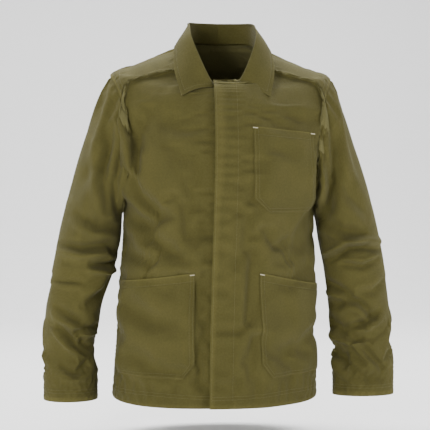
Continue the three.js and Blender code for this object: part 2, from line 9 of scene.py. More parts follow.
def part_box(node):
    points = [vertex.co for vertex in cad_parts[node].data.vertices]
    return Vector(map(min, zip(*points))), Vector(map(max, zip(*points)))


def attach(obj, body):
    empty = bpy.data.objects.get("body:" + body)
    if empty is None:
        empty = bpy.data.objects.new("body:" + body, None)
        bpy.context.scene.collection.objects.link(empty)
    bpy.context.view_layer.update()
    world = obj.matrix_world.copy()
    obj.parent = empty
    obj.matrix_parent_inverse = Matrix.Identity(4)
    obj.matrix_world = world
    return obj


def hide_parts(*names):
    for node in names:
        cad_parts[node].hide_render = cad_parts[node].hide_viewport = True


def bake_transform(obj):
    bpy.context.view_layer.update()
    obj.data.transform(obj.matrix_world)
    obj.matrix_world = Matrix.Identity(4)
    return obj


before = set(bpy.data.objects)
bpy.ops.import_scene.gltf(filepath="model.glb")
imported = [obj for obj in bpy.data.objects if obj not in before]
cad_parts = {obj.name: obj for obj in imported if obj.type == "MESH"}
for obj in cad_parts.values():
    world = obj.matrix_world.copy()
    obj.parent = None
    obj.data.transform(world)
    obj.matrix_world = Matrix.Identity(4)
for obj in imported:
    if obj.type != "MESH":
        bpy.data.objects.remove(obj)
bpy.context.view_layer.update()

# ---- Camera, floor and light ----
# The jacket hangs in front of a pale studio sweep, seen from the height of the waist,
# a little from the wearer's right.
VIEW_DISTANCE = 2.1
VIEW_HEIGHT = -0.338
VIEW_TURN = math.radians(-5.5)
AIM = Vector((-0.012, 0.0, VIEW_HEIGHT))
camera_data = bpy.data.cameras.new("camera")
camera_data.lens = 83.8
camera = bpy.data.objects.new("camera", camera_data)
camera.location = AIM + VIEW_DISTANCE * Vector((math.sin(VIEW_TURN), -math.cos(VIEW_TURN), 0.0))
camera.rotation_euler = (math.pi / 2, 0.0, VIEW_TURN)
bpy.context.scene.collection.objects.link(camera)
bpy.context.scene.camera = camera

FLOOR_Z = -0.80
SWEEP_RADIUS = 1.2
sweep_profile = [(-6.0, FLOOR_Z), (2.2, FLOOR_Z)]
for step in range(1, 13):
    turn = math.pi / 2 * step / 12
    sweep_profile.append((2.2 + SWEEP_RADIUS * math.sin(turn), FLOOR_Z + SWEEP_RADIUS * (1 - math.cos(turn))))
sweep_profile.append((2.2 + SWEEP_RADIUS, 5.0))
sweep_verts = [(x, y, z) for y, z in sweep_profile for x in (-7.0, 7.0)]
sweep_faces = [(2 * i, 2 * i + 1, 2 * i + 3, 2 * i + 2) for i in range(len(sweep_profile) - 1)]
sweep_mesh = bpy.data.meshes.new("studio_sweep")
sweep_mesh.from_pydata(sweep_verts, [], sweep_faces)
sweep = bpy.data.objects.new("studio_sweep", sweep_mesh)
bpy.context.scene.collection.objects.link(sweep)
paper = bpy.data.materials.new("white_paper")
paper.use_nodes = True
paper.node_tree.nodes["Principled BSDF"].inputs["Base Color"].default_value = (0.95, 0.95, 0.95, 1)
paper.node_tree.nodes["Principled BSDF"].inputs["Roughness"].default_value = 0.9
sweep_mesh.materials.append(paper)

world = bpy.data.worlds.new("studio_air")
world.use_nodes = True
world.node_tree.nodes["Background"].inputs["Color"].default_value = (1.0, 1.0, 1.0, 1)
world.node_tree.nodes["Background"].inputs["Strength"].default_value = 0.34
bpy.context.scene.world = world


def add_softbox(name, place, size, power):
    light_data = bpy.data.lights.new(name, "AREA")
    light_data.shape = "RECTANGLE"
    light_data.size, light_data.size_y = size
    light_data.energy = power
    light = bpy.data.objects.new(name, light_data)
    light.location = place
    light.rotation_euler = (Vector((0, 0, -0.35)) - Vector(place)).to_track_quat("-Z", "Y").to_euler()
    bpy.context.scene.collection.objects.link(light)


add_softbox("key_light", (-1.5, -2.0, 0.1), (0.6, 0.8), 38)
add_softbox("side_light", (2.1, -1.2, -0.2), (0.5, 1.2), 24)
add_softbox("sweep_light", (0.0, 0.9, 2.6), (5.0, 1.5), 330)




# ---- Olive twill ----
# Washed cotton twill, 300 g/m2, piece-dyed: fine diagonal ribs, a faint mottle, paler where
# seams and folded edges have rubbed, and a duller wrong side whose paler colour is partly its own
# and partly painted light, lifted so that the inside faces, which lie in shade, look lit.
class Sock:
    """A shader socket that takes part in arithmetic."""

    def __init__(self, tree, out):
        self.tree = tree
        self.out = out

    def node(self, kind, settings=(), inputs=(), output=0):
        made = self.tree.nodes.new(kind)
        for key, value in dict(settings).items():
            setattr(made, key, value)
        for key, value in dict(inputs).items():
            if isinstance(value, Sock):
                self.tree.links.new(value.out, made.inputs[key])
            else:
                made.inputs[key].default_value = value
        return Sock(self.tree, made.outputs[output])

    def maths(self, operation, *values):
        return self.node("ShaderNodeMath", {"operation": operation}, dict(enumerate(values)))

    def __add__(self, other):
        return self.maths("ADD", self, other)

    def __radd__(self, other):
        return self.maths("ADD", other, self)

    def __sub__(self, other):
        return self.maths("SUBTRACT", self, other)

    def __rsub__(self, other):
        return self.maths("SUBTRACT", other, self)

    def __mul__(self, other):
        return self.maths("MULTIPLY", self, other)

    def __rmul__(self, other):
        return self.maths("MULTIPLY", other, self)

    def sine(self):
        return self.maths("SINE", self)

    def held(self, low, high):
        return self.maths("MINIMUM", self.maths("MAXIMUM", self, low), high)

    def tint(self, dark, light):
        return self.node("ShaderNodeMix", {"data_type": "RGBA"}, {0: self, 6: dark, 7: light}, 2)


def new_material(name):
    material = bpy.data.materials.new(name)
    material.use_nodes = True
    tree = material.node_tree
    return material, Sock(tree, None), tree.nodes["Principled BSDF"]


def twill(name, dark, light, rib_depth):
    material, s, shader = new_material(name)
    uv = s.node("ShaderNodeUVMap", {"uv_map": "cloth"})
    parts = s.node("ShaderNodeSeparateXYZ", {}, {0: uv})
    across = Sock(s.tree, parts.out.node.outputs[0])
    along = Sock(s.tree, parts.out.node.outputs[1])
    rib_pitch = 0.0011
    ribs = ((across * 1.0 + along * 1.6) * (2 * math.pi / rib_pitch / 1.9)).sine()
    yarns = s.node("ShaderNodeTexNoise", {"noise_dimensions": "2D"},
                   {"Vector": uv, "Scale": 900.0, "Detail": 1.0})
    slub = s.node("ShaderNodeTexNoise", {"noise_dimensions": "2D"},
                   {"Vector": uv, "Scale": 260.0, "Detail": 2.0})
    wash = s.node("ShaderNodeTexNoise", {"noise_dimensions": "2D"},
                   {"Vector": uv, "Scale": 22.0, "Detail": 3.0})
    wear = s.node("ShaderNodeAttribute", {"attribute_name": "wear"}, {}, 2)
    mottle = (yarns * 0.30 + slub * 0.45 + wash * 0.35 + wear * 0.55 - 0.10).held(0.0, 1.0)
    colour = mottle.tint(dark, light)
    height = ribs * 0.35 + yarns * 0.8 + slub * 0.7
    bump = s.node("ShaderNodeBump", {}, {"Height": height, "Strength": rib_depth, "Distance": 0.0003})
    s.tree.links.new(colour.out, shader.inputs["Base Color"])
    s.tree.links.new(bump.out, shader.inputs["Normal"])
    s.tree.links.new((0.96 - slub * 0.12).out, shader.inputs["Roughness"])
    shader.inputs["Specular IOR Level"].default_value = 0.15
    shader.inputs["Sheen Weight"].default_value = 0.04
    shader.inputs["Sheen Roughness"].default_value = 0.5
    return material


right_side = twill("olive_twill", (0.050, 0.0445, 0.0105, 1), (0.112, 0.099, 0.028, 1), 0.9)
# Inside colour: the reverse's own duller, paler tone, made lighter still as painted light for the shaded inside
# faces.
wrong_side_painted_light = twill("olive_twill_inside_painted_light", (0.085, 0.077, 0.026, 1), (0.150, 0.137, 0.052, 1), 0.5)


def plain_thread(name, colour, glint):
    material, s, shader = new_material(name)
    place = s.node("ShaderNodeTexCoord", {}, {}, 3)
    twist = s.node("ShaderNodeTexNoise", {}, {"Vector": place, "Scale": 1400.0, "Detail": 1.0})
    pale = tuple(min(c * 1.5, 1.0) for c in colour[:3]) + (1,)
    s.tree.links.new(twist.tint(colour, pale).out, shader.inputs["Base Color"])
    shader.inputs["Roughness"].default_value = glint
    return material


olive_thread = plain_thread("olive_thread", (0.085, 0.076, 0.026, 1), 0.6)
pale_thread = plain_thread("pale_thread", (0.42, 0.39, 0.27, 1), 0.6)

# ---- The form of the body ----
# The cloth hangs over a chest of constant girth. Cross-sections are numbered from the hem (0)
# to the neckline (10) and angle u runs round them: 0 at the wearer's left, -90 degrees in front.
CLOTH = 0.0016
back_low, back_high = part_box("back_panel")
yoke_low, yoke_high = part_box("back_yoke")
HEM_Z = back_low[2] - 0.001
HEM_HALF = back_high[0] - CLOTH
SHOULDER_HALF = yoke_high[0]
ARMPIT_Z = -0.330
CHEST_HALF = 0.200
TIP_Z = -0.054
NECK_HALF = 0.078
POWER = 2.3
HEM_LEAN = 0.013           # the hem hangs this far towards the wearer's right
HEM_DIP = 0.006            # and dips this much at the centre front


def lerp(a, b, t):
    return a + (b - a) * t


def smooth(t):
    t = np.clip(t, 0.0, 1.0)
    return t * t * (3 - 2 * t)


def through(values, s):
    """A smooth curve through evenly numbered stations."""
    values = np.asarray(values, float)
    s = np.asarray(s, float)
    last = len(values) - 1
    i = np.clip(np.floor(s).astype(int), 0, last - 1)
    i = i.reshape(i.shape + (1,) * (values.ndim - 1))
    t = s.reshape(i.shape) - i
    before, a, b, after = (values[np.clip(i.reshape(s.shape) + k, 0, last)] for k in (-1, 0, 1, 2))
    first, final = i == 0, i == last - 1
    m1 = np.where(first, b - a, (b - before) / 2)
    m2 = np.where(final, b - a, (after - a) / 2)
    return ((2 * t**3 - 3 * t**2 + 1) * a + (t**3 - 2 * t**2 + t) * m1
            + (3 * t**2 - 2 * t**3) * b + (t**3 - t**2) * m2)


ARMPIT_LEVEL = 3
NECK = 10
station_z = [HEM_Z, lerp(HEM_Z, ARMPIT_Z, 0.33), lerp(HEM_Z, ARMPIT_Z, 0.67), ARMPIT_Z,
             lerp(ARMPIT_Z, TIP_Z, 0.3), lerp(ARMPIT_Z, TIP_Z, 0.6), lerp(ARMPIT_Z, TIP_Z, 0.85), TIP_Z,
             TIP_Z * 0.62, TIP_Z * 0.34, -0.0095]
station_wide = [HEM_HALF, lerp(HEM_HALF, CHEST_HALF, 0.55), CHEST_HALF + 0.002, CHEST_HALF,
                CHEST_HALF + 0.024, CHEST_HALF + 0.038, SHOULDER_HALF + 0.014, SHOULDER_HALF,
                lerp(NECK_HALF, SHOULDER_HALF, 0.66), lerp(NECK_HALF, SHOULDER_HALF, 0.3), NECK_HALF]
station_front = [0.148, 0.145, 0.139, 0.136, 0.135, 0.126, 0.112, 0.099, 0.092, 0.088, 0.086]
station_back = [0.140, 0.130, 0.127, 0.134, 0.137, 0.134, 0.124, 0.108, 0.092, 0.076, 0.062]
station_tilt = [0, 0, 0, 0, 0.04, 0.12, 0.3, 0.5, 0.72, 0.88, 1]


def power(v, p):
    return np.sign(v) * np.abs(v) ** p


def body_point(u, s):
    u, s = np.broadcast_arrays(np.asarray(u, float), np.asarray(s, float))
    c = power(np.cos(u), 2 / POWER)
    n = power(np.sin(u), 2 / POWER)
    depth = np.where(n < 0, through(station_front, s), through(station_back, s))
    z = through(station_z, s) + through(station_tilt, s) * (0.053 * np.sin(u) + 0.0145 * np.cos(2 * u))
    x = through(station_wide, s) * c
    low = smooth((-0.15 - z) / (-0.15 - HEM_Z))
    x = x - HEM_LEAN * low
    z = z - HEM_DIP * smooth(-n) * smooth((-0.45 - z) / 0.25)
    return np.stack([x, depth * n, z], -1)


def solve(f, low, high, steps=40):
    """Where a rising function of an array passes zero."""
    low, high = np.array(low, float), np.array(high, float)
    for _ in range(steps):
        mid = (low + high) / 2
        below = f(mid) < 0
        low = np.where(below, mid, low)
        high = np.where(below, high, mid)
    return (low + high) / 2


def locate(x, z, back=False):
    """The (u, s) of the body at a given x and z, on the front or the back."""
    x, z = np.broadcast_arrays(np.asarray(x, float), np.asarray(z, float))
    sign = 1.0 if back else -1.0
    u = np.full(x.shape, sign * math.pi / 2)
    for _ in range(10):
        s = solve(lambda level: body_point(u, level)[..., 2] - z,
                  np.zeros(x.shape), np.full(x.shape, float(NECK)))
        low = smooth((-0.15 - z) / (-0.15 - HEM_Z))
        ratio = np.clip((x + HEM_LEAN * low) / through(station_wide, s), -1, 1)
        turn = np.arccos(np.abs(ratio) ** (POWER / 2))
        u = sign * np.where(ratio >= 0, turn, math.pi - turn)
    return u, s


def armhole_x(z, back):
    t = np.clip((z - TIP_Z) / (ARMPIT_Z - TIP_Z), 0, 1)
    hollow = 0.012 if back else 0.024
    return lerp(SHOULDER_HALF, CHEST_HALF, t) - hollow * np.sin(math.pi * t**0.8)


def armhole_place(z, back):
    z = np.asarray(z, float)
    lean = HEM_LEAN * smooth((-0.15 - z) / (-0.15 - HEM_Z))
    u, s = locate(armhole_x(z, back) - lean, z, back)
    tip = float(solve(lambda level: SHOULDER_HALF - through(station_wide, level), 6.6, 9.0))
    u = np.where(z >= TIP_Z - 1e-9, 0.0, np.where(z <= ARMPIT_Z + 1e-9, 0.0, u))
    s = np.where(z >= TIP_Z - 1e-9, tip, np.where(z <= ARMPIT_Z + 1e-9, ARMPIT_LEVEL, s))
    return u, s


# ---- Making and finishing a sheet of cloth ----
# Every cloth piece is a grid that runs along its own warp and weft. It is laid out coarse, folds
# are worked in, it is eased by a short cloth simulation, and then it is made fine and given its thickness.
class Cloth:
    """A piece's grid of points: rows up the cloth, columns across it."""

    def __init__(self, points, ring=False):
        self.points = points
        self.ring = ring

    def normals(self):
        p = self.points
        if self.ring:
            around = np.roll(p, -1, 1) - np.roll(p, 1, 1)
        else:
            around = np.gradient(p, axis=1)
        normal = np.cross(around, np.gradient(p, axis=0))
        return normal / np.maximum(np.linalg.norm(normal, axis=-1, keepdims=True), 1e-12)

    def finer(self, times):
        rows, columns = self.points.shape[:2]
        table = self.points
        if self.ring:
            table = np.concatenate([table[:, -2:], table, table[:, :3]], 1)
        tall = through(table, np.linspace(0, rows - 1, (rows - 1) * times + 1))
        flipped = np.swapaxes(tall, 0, 1)
        if self.ring:
            wide = through(flipped, 2 + np.arange(columns * times) / times)
        else:
            wide = through(flipped, np.linspace(0, columns - 1, (columns - 1) * times + 1))
        return Cloth(np.swapaxes(wide, 0, 1), self.ring)

    def lengths(self):
        across = np.linalg.norm(np.diff(self.points, axis=1), axis=-1)
        u = np.concatenate([np.zeros((len(across), 1)), np.cumsum(across, 1)], 1)
        up = np.linalg.norm(np.diff(self.points, axis=0), axis=-1)
        v = np.concatenate([np.zeros((1, up.shape[1])), np.cumsum(up, 0)], 0)
        return u, v

    def at(self, p, q, lift=0.0):
        """Points on the cloth at shares p across and q up, raised by lift."""
        rows, columns = self.points.shape[:2]
        grid = self.points + self.normals() * lift
        if self.ring:
            grid = np.concatenate([grid, grid[:, :1]], 1)
            columns += 1
        x = np.clip(np.asarray(p) * (columns - 1), 0, columns - 1 - 1e-9)
        y = np.clip(np.asarray(q) * (rows - 1), 0, rows - 1 - 1e-9)
        i, j = x.astype(int), y.astype(int)
        fx, fy = (x - i)[..., None], (y - j)[..., None]
        low = grid[j, i] * (1 - fx) + grid[j, i + 1] * fx
        high = grid[j + 1, i] * (1 - fx) + grid[j + 1, i + 1] * fx
        return low * (1 - fy) + high * fy


def lay_out(columns, rows, place, ring=False):
    p = np.arange(columns) / columns if ring else np.linspace(0, 1, columns + 1)
    q = np.linspace(0, 1, rows + 1)
    grid_p, grid_q = np.meshgrid(p, q)
    return Cloth(place(grid_p, grid_q), ring)


def grid_faces(rows, columns, ring):
    faces = []
    span = columns if ring else columns - 1
    for j in range(rows - 1):
        for i in range(span):
            a, b = j * columns + i, j * columns + (i + 1) % columns
            faces.append((a, b, b + columns, a + columns))
    return faces


def cloth_object(name, cloth, material, body, thickness=0.0012, wear=None, inside=None, rides=True):
    """The finished piece: one closed sheet with a cloth map, its material and its wrong side."""
    rows, columns = cloth.points.shape[:2]
    mesh = bpy.data.meshes.new(name)
    mesh.from_pydata(cloth.points.reshape(-1, 3).tolist(), [], grid_faces(rows, columns, cloth.ring))
    u, v = cloth.lengths()
    if cloth.ring:
        u = np.broadcast_to(u[:, :columns], (rows, columns))
    uv_map = mesh.uv_layers.new(name="cloth")
    corner = np.empty(len(mesh.loops), int)
    mesh.loops.foreach_get("vertex_index", corner)
    pairs = np.stack([u.reshape(-1)[corner], v.reshape(-1)[corner]], -1)
    if cloth.ring:
        quads = pairs.reshape(-1, 4, 2)
        step = np.linalg.norm(cloth.points[:, 0] - cloth.points[:, -1], axis=-1)
        far = quads[:, 0, 0] - quads[:, 1, 0] > 0.02
        quads[far, 1, 0] = quads[far, 0, 0] + step.mean()
        quads[far, 2, 0] = quads[far, 3, 0] + step.mean()
    uv_map.data.foreach_set("uv", pairs.reshape(-1))
    attribute = mesh.attributes.new("wear", "FLOAT", "POINT")
    attribute.data.foreach_set("value", (np.zeros(rows * columns) if wear is None else wear.reshape(-1)))
    mesh.materials.append(material)
    mesh.materials.append(inside or wrong_side_painted_light)
    piece = bpy.data.objects.new(name, mesh)
    bpy.context.scene.collection.objects.link(piece)
    wall = piece.modifiers.new("thickness", "SOLIDIFY")
    wall.thickness = thickness
    wall.offset = -1.0
    wall.use_even_offset = False
    wall.material_offset = 1
    wall.material_offset_rim = 0
    bpy.ops.object.select_all(action="DESELECT")
    bpy.context.view_layer.objects.active = piece
    piece.select_set(True)
    bpy.ops.object.modifier_apply(modifier=wall.name)
    bpy.ops.object.shade_smooth_by_angle(angle=math.radians(50))
    if rides:
        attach(piece, body)
    return piece


def ease(cloth, frames, grow, cap, pinned):
    """A short cloth simulation: the sheet, a little larger than its place, buckles into small creases."""
    rows, columns = cloth.points.shape[:2]
    mesh = bpy.data.meshes.new("easing")
    mesh.from_pydata(cloth.points.reshape(-1, 3).tolist(), [], grid_faces(rows, columns, cloth.ring))
    helper = bpy.data.objects.new("easing", mesh)
    bpy.context.scene.collection.objects.link(helper)
    group = helper.vertex_groups.new(name="pinned")
    for index, weight in enumerate(pinned.reshape(-1)):
        if weight > 0:
            group.add([index], float(weight), "REPLACE")
    modifier = helper.modifiers.new("cloth", "CLOTH")
    settings = modifier.settings
    settings.quality = 6
    settings.mass = 0.3
    settings.tension_stiffness = 25
    settings.compression_stiffness = 25
    settings.shear_stiffness = 8
    settings.bending_stiffness = 1.2
    settings.air_damping = 3
    settings.vertex_group_mass = "pinned"
    settings.pin_stiffness = 1.0
    settings.shrink_min = -grow
    settings.effector_weights.gravity = 0.15
    modifier.point_cache.frame_start = 1
    modifier.point_cache.frame_end = frames
    for number in range(1, frames + 1):
        bpy.context.scene.frame_set(number)
    view = helper.evaluated_get(bpy.context.evaluated_depsgraph_get())
    after = np.empty(rows * columns * 3)
    view.data.vertices.foreach_get("co", after)
    bpy.data.objects.remove(helper)
    bpy.context.scene.frame_set(1)
    moved = after.reshape(rows, columns, 3) - cloth.points
    length = np.linalg.norm(moved, axis=-1, keepdims=True)
    moved *= np.minimum(1.0, cap / np.maximum(length, 1e-9))
    return Cloth(cloth.points + moved, cloth.ring)


def edges_pinned(cloth, reach, first=1.0, last=1.0):
    """Weights that hold a piece's seams and let go inside them. first and last widen the end rows' hold."""
    rows, columns = cloth.points.shape[:2]
    j = np.minimum(np.arange(rows) / first, np.arange(rows)[::-1] / last)[:, None]
    i = np.minimum(np.arange(columns), np.arange(columns)[::-1])[None, :]
    near = np.broadcast_to(j, (rows, columns)) if cloth.ring else np.minimum(j, i)
    return np.clip(1 - near / reach, 0, 1)


def work_in(cloth, folds, facing=-1):
    """Presses folds into the cloth. A fold is a line of (x, z) points, a half width, a depth and a ridge."""
    points = cloth.points
    normals = cloth.normals()
    flat = points[..., [0, 2]]
    side = np.clip(normals[..., 1] * facing * 3 + 0.15, 0, 1)
    shift = np.zeros(points.shape[:2])
    for line, half_width, depth, ridge in folds:
        line = np.array(line)
        best = np.full(points.shape[:2], 1e9)
        strength = np.zeros(points.shape[:2])
        offset = np.zeros(points.shape[:2])
        total = np.sum(np.linalg.norm(np.diff(line, axis=0), axis=1))
        gone = 0.0
        for a, b in zip(line[:-1], line[1:]):
            along = b - a
            length = np.linalg.norm(along)
            t = np.clip(((flat - a) @ along) / length**2, 0, 1)
            near = a + t[..., None] * along
            gap = flat - near
            distance = np.linalg.norm(gap, axis=-1)
            cross = gap[..., 0] * along[1] - gap[..., 1] * along[0]
            share = (gone + t * length) / total
            taper = np.sin(math.pi * np.clip(share, 0.0, 1.0)) ** 0.6
            closer = distance < best
            best = np.where(closer, distance, best)
            strength = np.where(closer, taper, strength)
            offset = np.where(closer, np.sign(cross), offset)
            gone += length
        valley = -depth * np.exp(-((best / half_width) ** 2))
        crest = (ridge * depth * np.exp(-(((best - 1.7 * half_width) / (0.9 * half_width)) ** 2))
                 * (offset > 0))
        shift += strength * (valley + crest)
    seams = 1 - edges_pinned(cloth, 4)
    return Cloth(points + normals * (shift * side * smooth(seams))[..., None], cloth.ring)


def tuck(cloth, reach=0.005, sink=0.0018, first_row=False, last_row=False, columns=False):
    """Runs an edge on under its neighbour, as the lower layer of a lapped seam."""
    points, normals = cloth.points.copy(), cloth.normals()
    edges = []
    if first_row:
        edges.append((np.s_[0], np.s_[1], np.s_[2]))
    if last_row:
        edges.append((np.s_[-1], np.s_[-2], np.s_[-3]))
    if columns:
        edges += [(np.s_[:, 0], np.s_[:, 1], np.s_[:, 2]), (np.s_[:, -1], np.s_[:, -2], np.s_[:, -3])]
    for edge, nearby, third in edges:
        away = cloth.points[edge] - cloth.points[third]
        away /= np.maximum(np.linalg.norm(away, axis=-1, keepdims=True), 1e-9)
        points[edge] = cloth.points[edge] + away * reach - normals[edge] * sink
        points[nearby] = cloth.points[edge] - normals[edge] * sink * 0.9
    return Cloth(points, cloth.ring)


def coons(bottom, top, left, right):
    """A patch between four seam lines in the body's own (u, s)."""
    def place(p, q):
        shape = p.shape
        p, q = p.ravel(), q.ravel()
        b, t, l, r = (np.stack(edge(v), -1) for edge, v in ((bottom, p), (top, p), (left, q), (right, q)))
        ends = [np.stack(edge(np.array([v])), -1)
                for edge, v in ((bottom, 0.0), (bottom, 1.0), (top, 0.0), (top, 1.0))]
        p, q = p[:, None], q[:, None]
        low, high = lerp(ends[0], ends[1], p), lerp(ends[2], ends[3], p)
        out = lerp(b, t, q) + lerp(l, r, p) - lerp(low, high, q)
        return out[:, 0].reshape(shape), out[:, 1].reshape(shape)
    return place


# ---- Stitching ----
# Lockstitch in thread of the cloth's own colour, about 3 mm a stitch, sunk a little into the twill.
STITCH = 0.0030


def sew(cloth, p, q, lift=0.00015):
    """Adds a row of stitches along shares p, q of a piece."""
    path = cloth.at(np.asarray(p), np.asarray(q), lift)
    normal = cloth.at(np.asarray(p), np.asarray(q), lift + 0.001) - path
    steps = np.linalg.norm(np.diff(path, axis=0), axis=1)
    run = np.concatenate([[0], np.cumsum(steps)])
    places = np.arange(STITCH / 2, run[-1], STITCH)
    centre = np.stack([np.interp(places, run, path[:, k]) for k in range(3)], -1)
    out = np.stack([np.interp(places, run, normal[:, k]) for k in range(3)], -1)
    ahead = np.stack([np.interp(places + 1e-4, run, path[:, k]) for k in range(3)], -1)
    behind = np.stack([np.interp(places - 1e-4, run, path[:, k]) for k in range(3)], -1)
    tangent = ahead - behind
    tangent /= np.maximum(np.linalg.norm(tangent, axis=1, keepdims=True), 1e-12)
    out /= np.maximum(np.linalg.norm(out, axis=1, keepdims=True), 1e-12)
    return centre, tangent, out


def stitch_object(name, rows, body, material=None, half_length=0.00115, half_width=0.00038,
                  rides=True):
    """One mesh for all the stitches of a group: each a small six-sided grain of thread."""
    verts, faces = [], []
    rings = [(-1.0, 0.0), (-0.6, 0.85), (0.6, 0.85), (1.0, 0.0)]
    for centre, tangent, out in rows:
        side = np.cross(tangent, out)
        for c, t, o, s in zip(centre, tangent, out, side):
            base = len(verts)
            verts.append(tuple(c - t * half_length))
            for along, wide in rings[1:3]:
                for k in range(6):
                    angle = math.pi * k / 3
                    shift = s * math.cos(angle) * wide + o * math.sin(angle) * wide * 0.8
                    verts.append(tuple(c + t * along * half_length + shift * half_width))
            verts.append(tuple(c + t * half_length))
            for k in range(6):
                n = (k + 1) % 6
                faces.append((base, base + 1 + n, base + 1 + k))
                faces.append((base + 1 + k, base + 1 + n, base + 7 + n, base + 7 + k))
                faces.append((base + 13, base + 7 + k, base + 7 + n))
    mesh = bpy.data.meshes.new(name)
    mesh.from_pydata(verts, [], faces)
    mesh.materials.append(material or olive_thread)
    for polygon in mesh.polygons:
        polygon.use_smooth = True
    piece = bpy.data.objects.new(name, mesh)
    bpy.context.scene.collection.objects.link(piece)
    if rides:
        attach(piece, body)
    return piece


def span(a, b, count=60):
    return np.linspace(a, b, count)


# ---- Fronts ----
# Each front is one length of twill from the free edge to the side seam, cut to the forward yoke
# seam and the armhole. The wearer's left one lies outside and carries the covered button fly.
YOKE_FRONT_Z = -0.105
YOKE_BACK_Z = -0.130
YOKE_NECK_ANGLE = -0.62
ARMPIT_SHARE = 0.6
NECK_SHARE = 0.28
FLY_OVERLAP = 0.024
FLY_STITCH_X = 0.021
LEFT_LIFT = 0.0085         # the left front stands this far outside the right one where they cross


def front_line(x, q):
    s = np.asarray(q, float) * NECK
    ratio = np.clip(np.abs(x) / through(station_wide, s), 0, 1)
    turn = np.arccos(ratio ** (POWER / 2))
    return (np.where(np.asarray(x) >= 0, -turn, turn - math.pi), s)


def side_line(q, back):
    q = np.asarray(q, float)
    top = YOKE_BACK_Z if back else YOKE_FRONT_Z
    u, s = armhole_place(lerp(ARMPIT_Z, top, np.clip((q - ARMPIT_SHARE) / (1 - ARMPIT_SHARE), 0, 1)), back)
    under = q < ARMPIT_SHARE
    return np.where(under, 0.0, u), np.where(under, ARMPIT_LEVEL * q / ARMPIT_SHARE, s)


front_corner = tuple(float(v) for v in armhole_place(YOKE_FRONT_Z, False))
back_corner = tuple(float(v) for v in armhole_place(YOKE_BACK_Z, True))


def front_patch(edge_x):
    start = tuple(float(v) for v in front_line(edge_x, 1.0))
    hem_start = float(front_line(edge_x, 0.0)[0])

    def top(p):
        near = np.clip(p / NECK_SHARE, 0, 1)
        far = np.clip((p - NECK_SHARE) / (1 - NECK_SHARE), 0, 1)
        on_neck = p < NECK_SHARE
        u = np.where(on_neck, lerp(start[0], YOKE_NECK_ANGLE, near),
                     lerp(YOKE_NECK_ANGLE, front_corner[0], far))
        s = np.where(on_neck, float(NECK), lerp(float(NECK), front_corner[1], far))
        return u, s

    return coons(lambda p: (lerp(hem_start, 0.0, p), 0 * p), top,
                 lambda q: front_line(edge_x, q), lambda q: side_line(q, False))


def mirror(points, sign):
    """The wearer's right side is the left one mirrored, apart from the lean of the hem."""
    if sign > 0:
        return points
    z = points[..., 2]
    lean = HEM_LEAN * smooth((-0.15 - z) / (-0.15 - HEM_Z))
    return np.stack([-(points[..., 0] + lean) - lean, points[..., 1], z], -1)


plans = {}        # each piece as laid out on its seam lines, before any fold or easing
FRONT_COLUMNS, FRONT_ROWS = 30, 84


def front_cloth(edge_x, sign, lift):
    at = front_patch(edge_x)

    def place(p, q):
        u, s = at(p, q)
        points = mirror(body_point(u, s), sign)
        reach = smooth((0.13 - np.abs(points[..., 0])) / 0.07)
        out = Cloth(points).normals() * sign
        return points + out * (lift * reach)[..., None]

    return lay_out(FRONT_COLUMNS, FRONT_ROWS, place)


right_folds = [
    ([(-0.196, -0.130), (-0.180, -0.180), (-0.176, -0.250)], 0.010, 0.015, 0.7),
    ([(-0.150, -0.115), (-0.166, -0.160), (-0.172, -0.215)], 0.011, 0.009, 0.6),
    ([(-0.199, -0.235), (-0.172, -0.290), (-0.128, -0.345)], 0.014, 0.012, 0.6),
    ([(-0.190, -0.300), (-0.150, -0.380), (-0.075, -0.430)], 0.016, 0.010, 0.6),
    ([(-0.198, -0.345), (-0.150, -0.352), (-0.100, -0.330)], 0.012, 0.006, 0.5),
    ([(-0.120, -0.140), (-0.066, -0.240), (-0.052, -0.400)], 0.024, 0.007, 0.4),
    ([(-0.085, -0.300), (-0.066, -0.400), (-0.050, -0.440)], 0.016, 0.006, 0.5),
    ([(-0.060, -0.450), (-0.052, -0.560), (-0.060, -0.690)], 0.014, 0.007, 0.5),
    ([(-0.030, -0.280), (-0.042, -0.400), (-0.034, -0.520)], 0.014, 0.004, 0.5),
    ([(-0.199, -0.410), (-0.150, -0.425), (-0.100, -0.418)], 0.014, 0.006, 0.5),
    ([(-0.195, -0.500), (-0.150, -0.540), (-0.100, -0.560)], 0.020, 0.007, 0.4),
    ([(-0.195, -0.600), (-0.140, -0.640), (-0.080, -0.650)], 0.018, 0.006, 0.4),
    ([(-0.150, -0.130), (-0.090, -0.150), (-0.040, -0.170)], 0.022, 0.005, 0.4),
]
left_folds = [
    ([(0.192, -0.130), (0.160, -0.146), (0.110, -0.132)], 0.014, 0.006, 0.5),
    ([(0.197, -0.200), (0.186, -0.260), (0.190, -0.330)], 0.010, 0.009, 0.6),
    ([(0.196, -0.300), (0.150, -0.392), (0.070, -0.424)], 0.016, 0.010, 0.6),
    ([(0.194, -0.370), (0.140, -0.424), (0.070, -0.440)], 0.013, 0.008, 0.6),
    ([(0.040, -0.330), (0.052, -0.430), (0.046, -0.560)], 0.014, 0.006, 0.5),
    ([(0.036, -0.130), (0.044, -0.220), (0.036, -0.320)], 0.014, 0.004, 0.4),
    ([(0.060, -0.360), (0.100, -0.392), (0.160, -0.380)], 0.016, 0.006, 0.5),
    ([(0.190, -0.440), (0.120, -0.470), (0.060, -0.480)], 0.018, 0.006, 0.4),
    ([(0.195, -0.560), (0.150, -0.600), (0.080, -0.620)], 0.022, 0.006, 0.4),
    ([(0.055, -0.560), (0.046, -0.630), (0.056, -0.690)], 0.014, 0.006, 0.5),
    ([(0.110, -0.600), (0.130, -0.650), (0.120, -0.690)], 0.018, 0.005, 0.4),
]


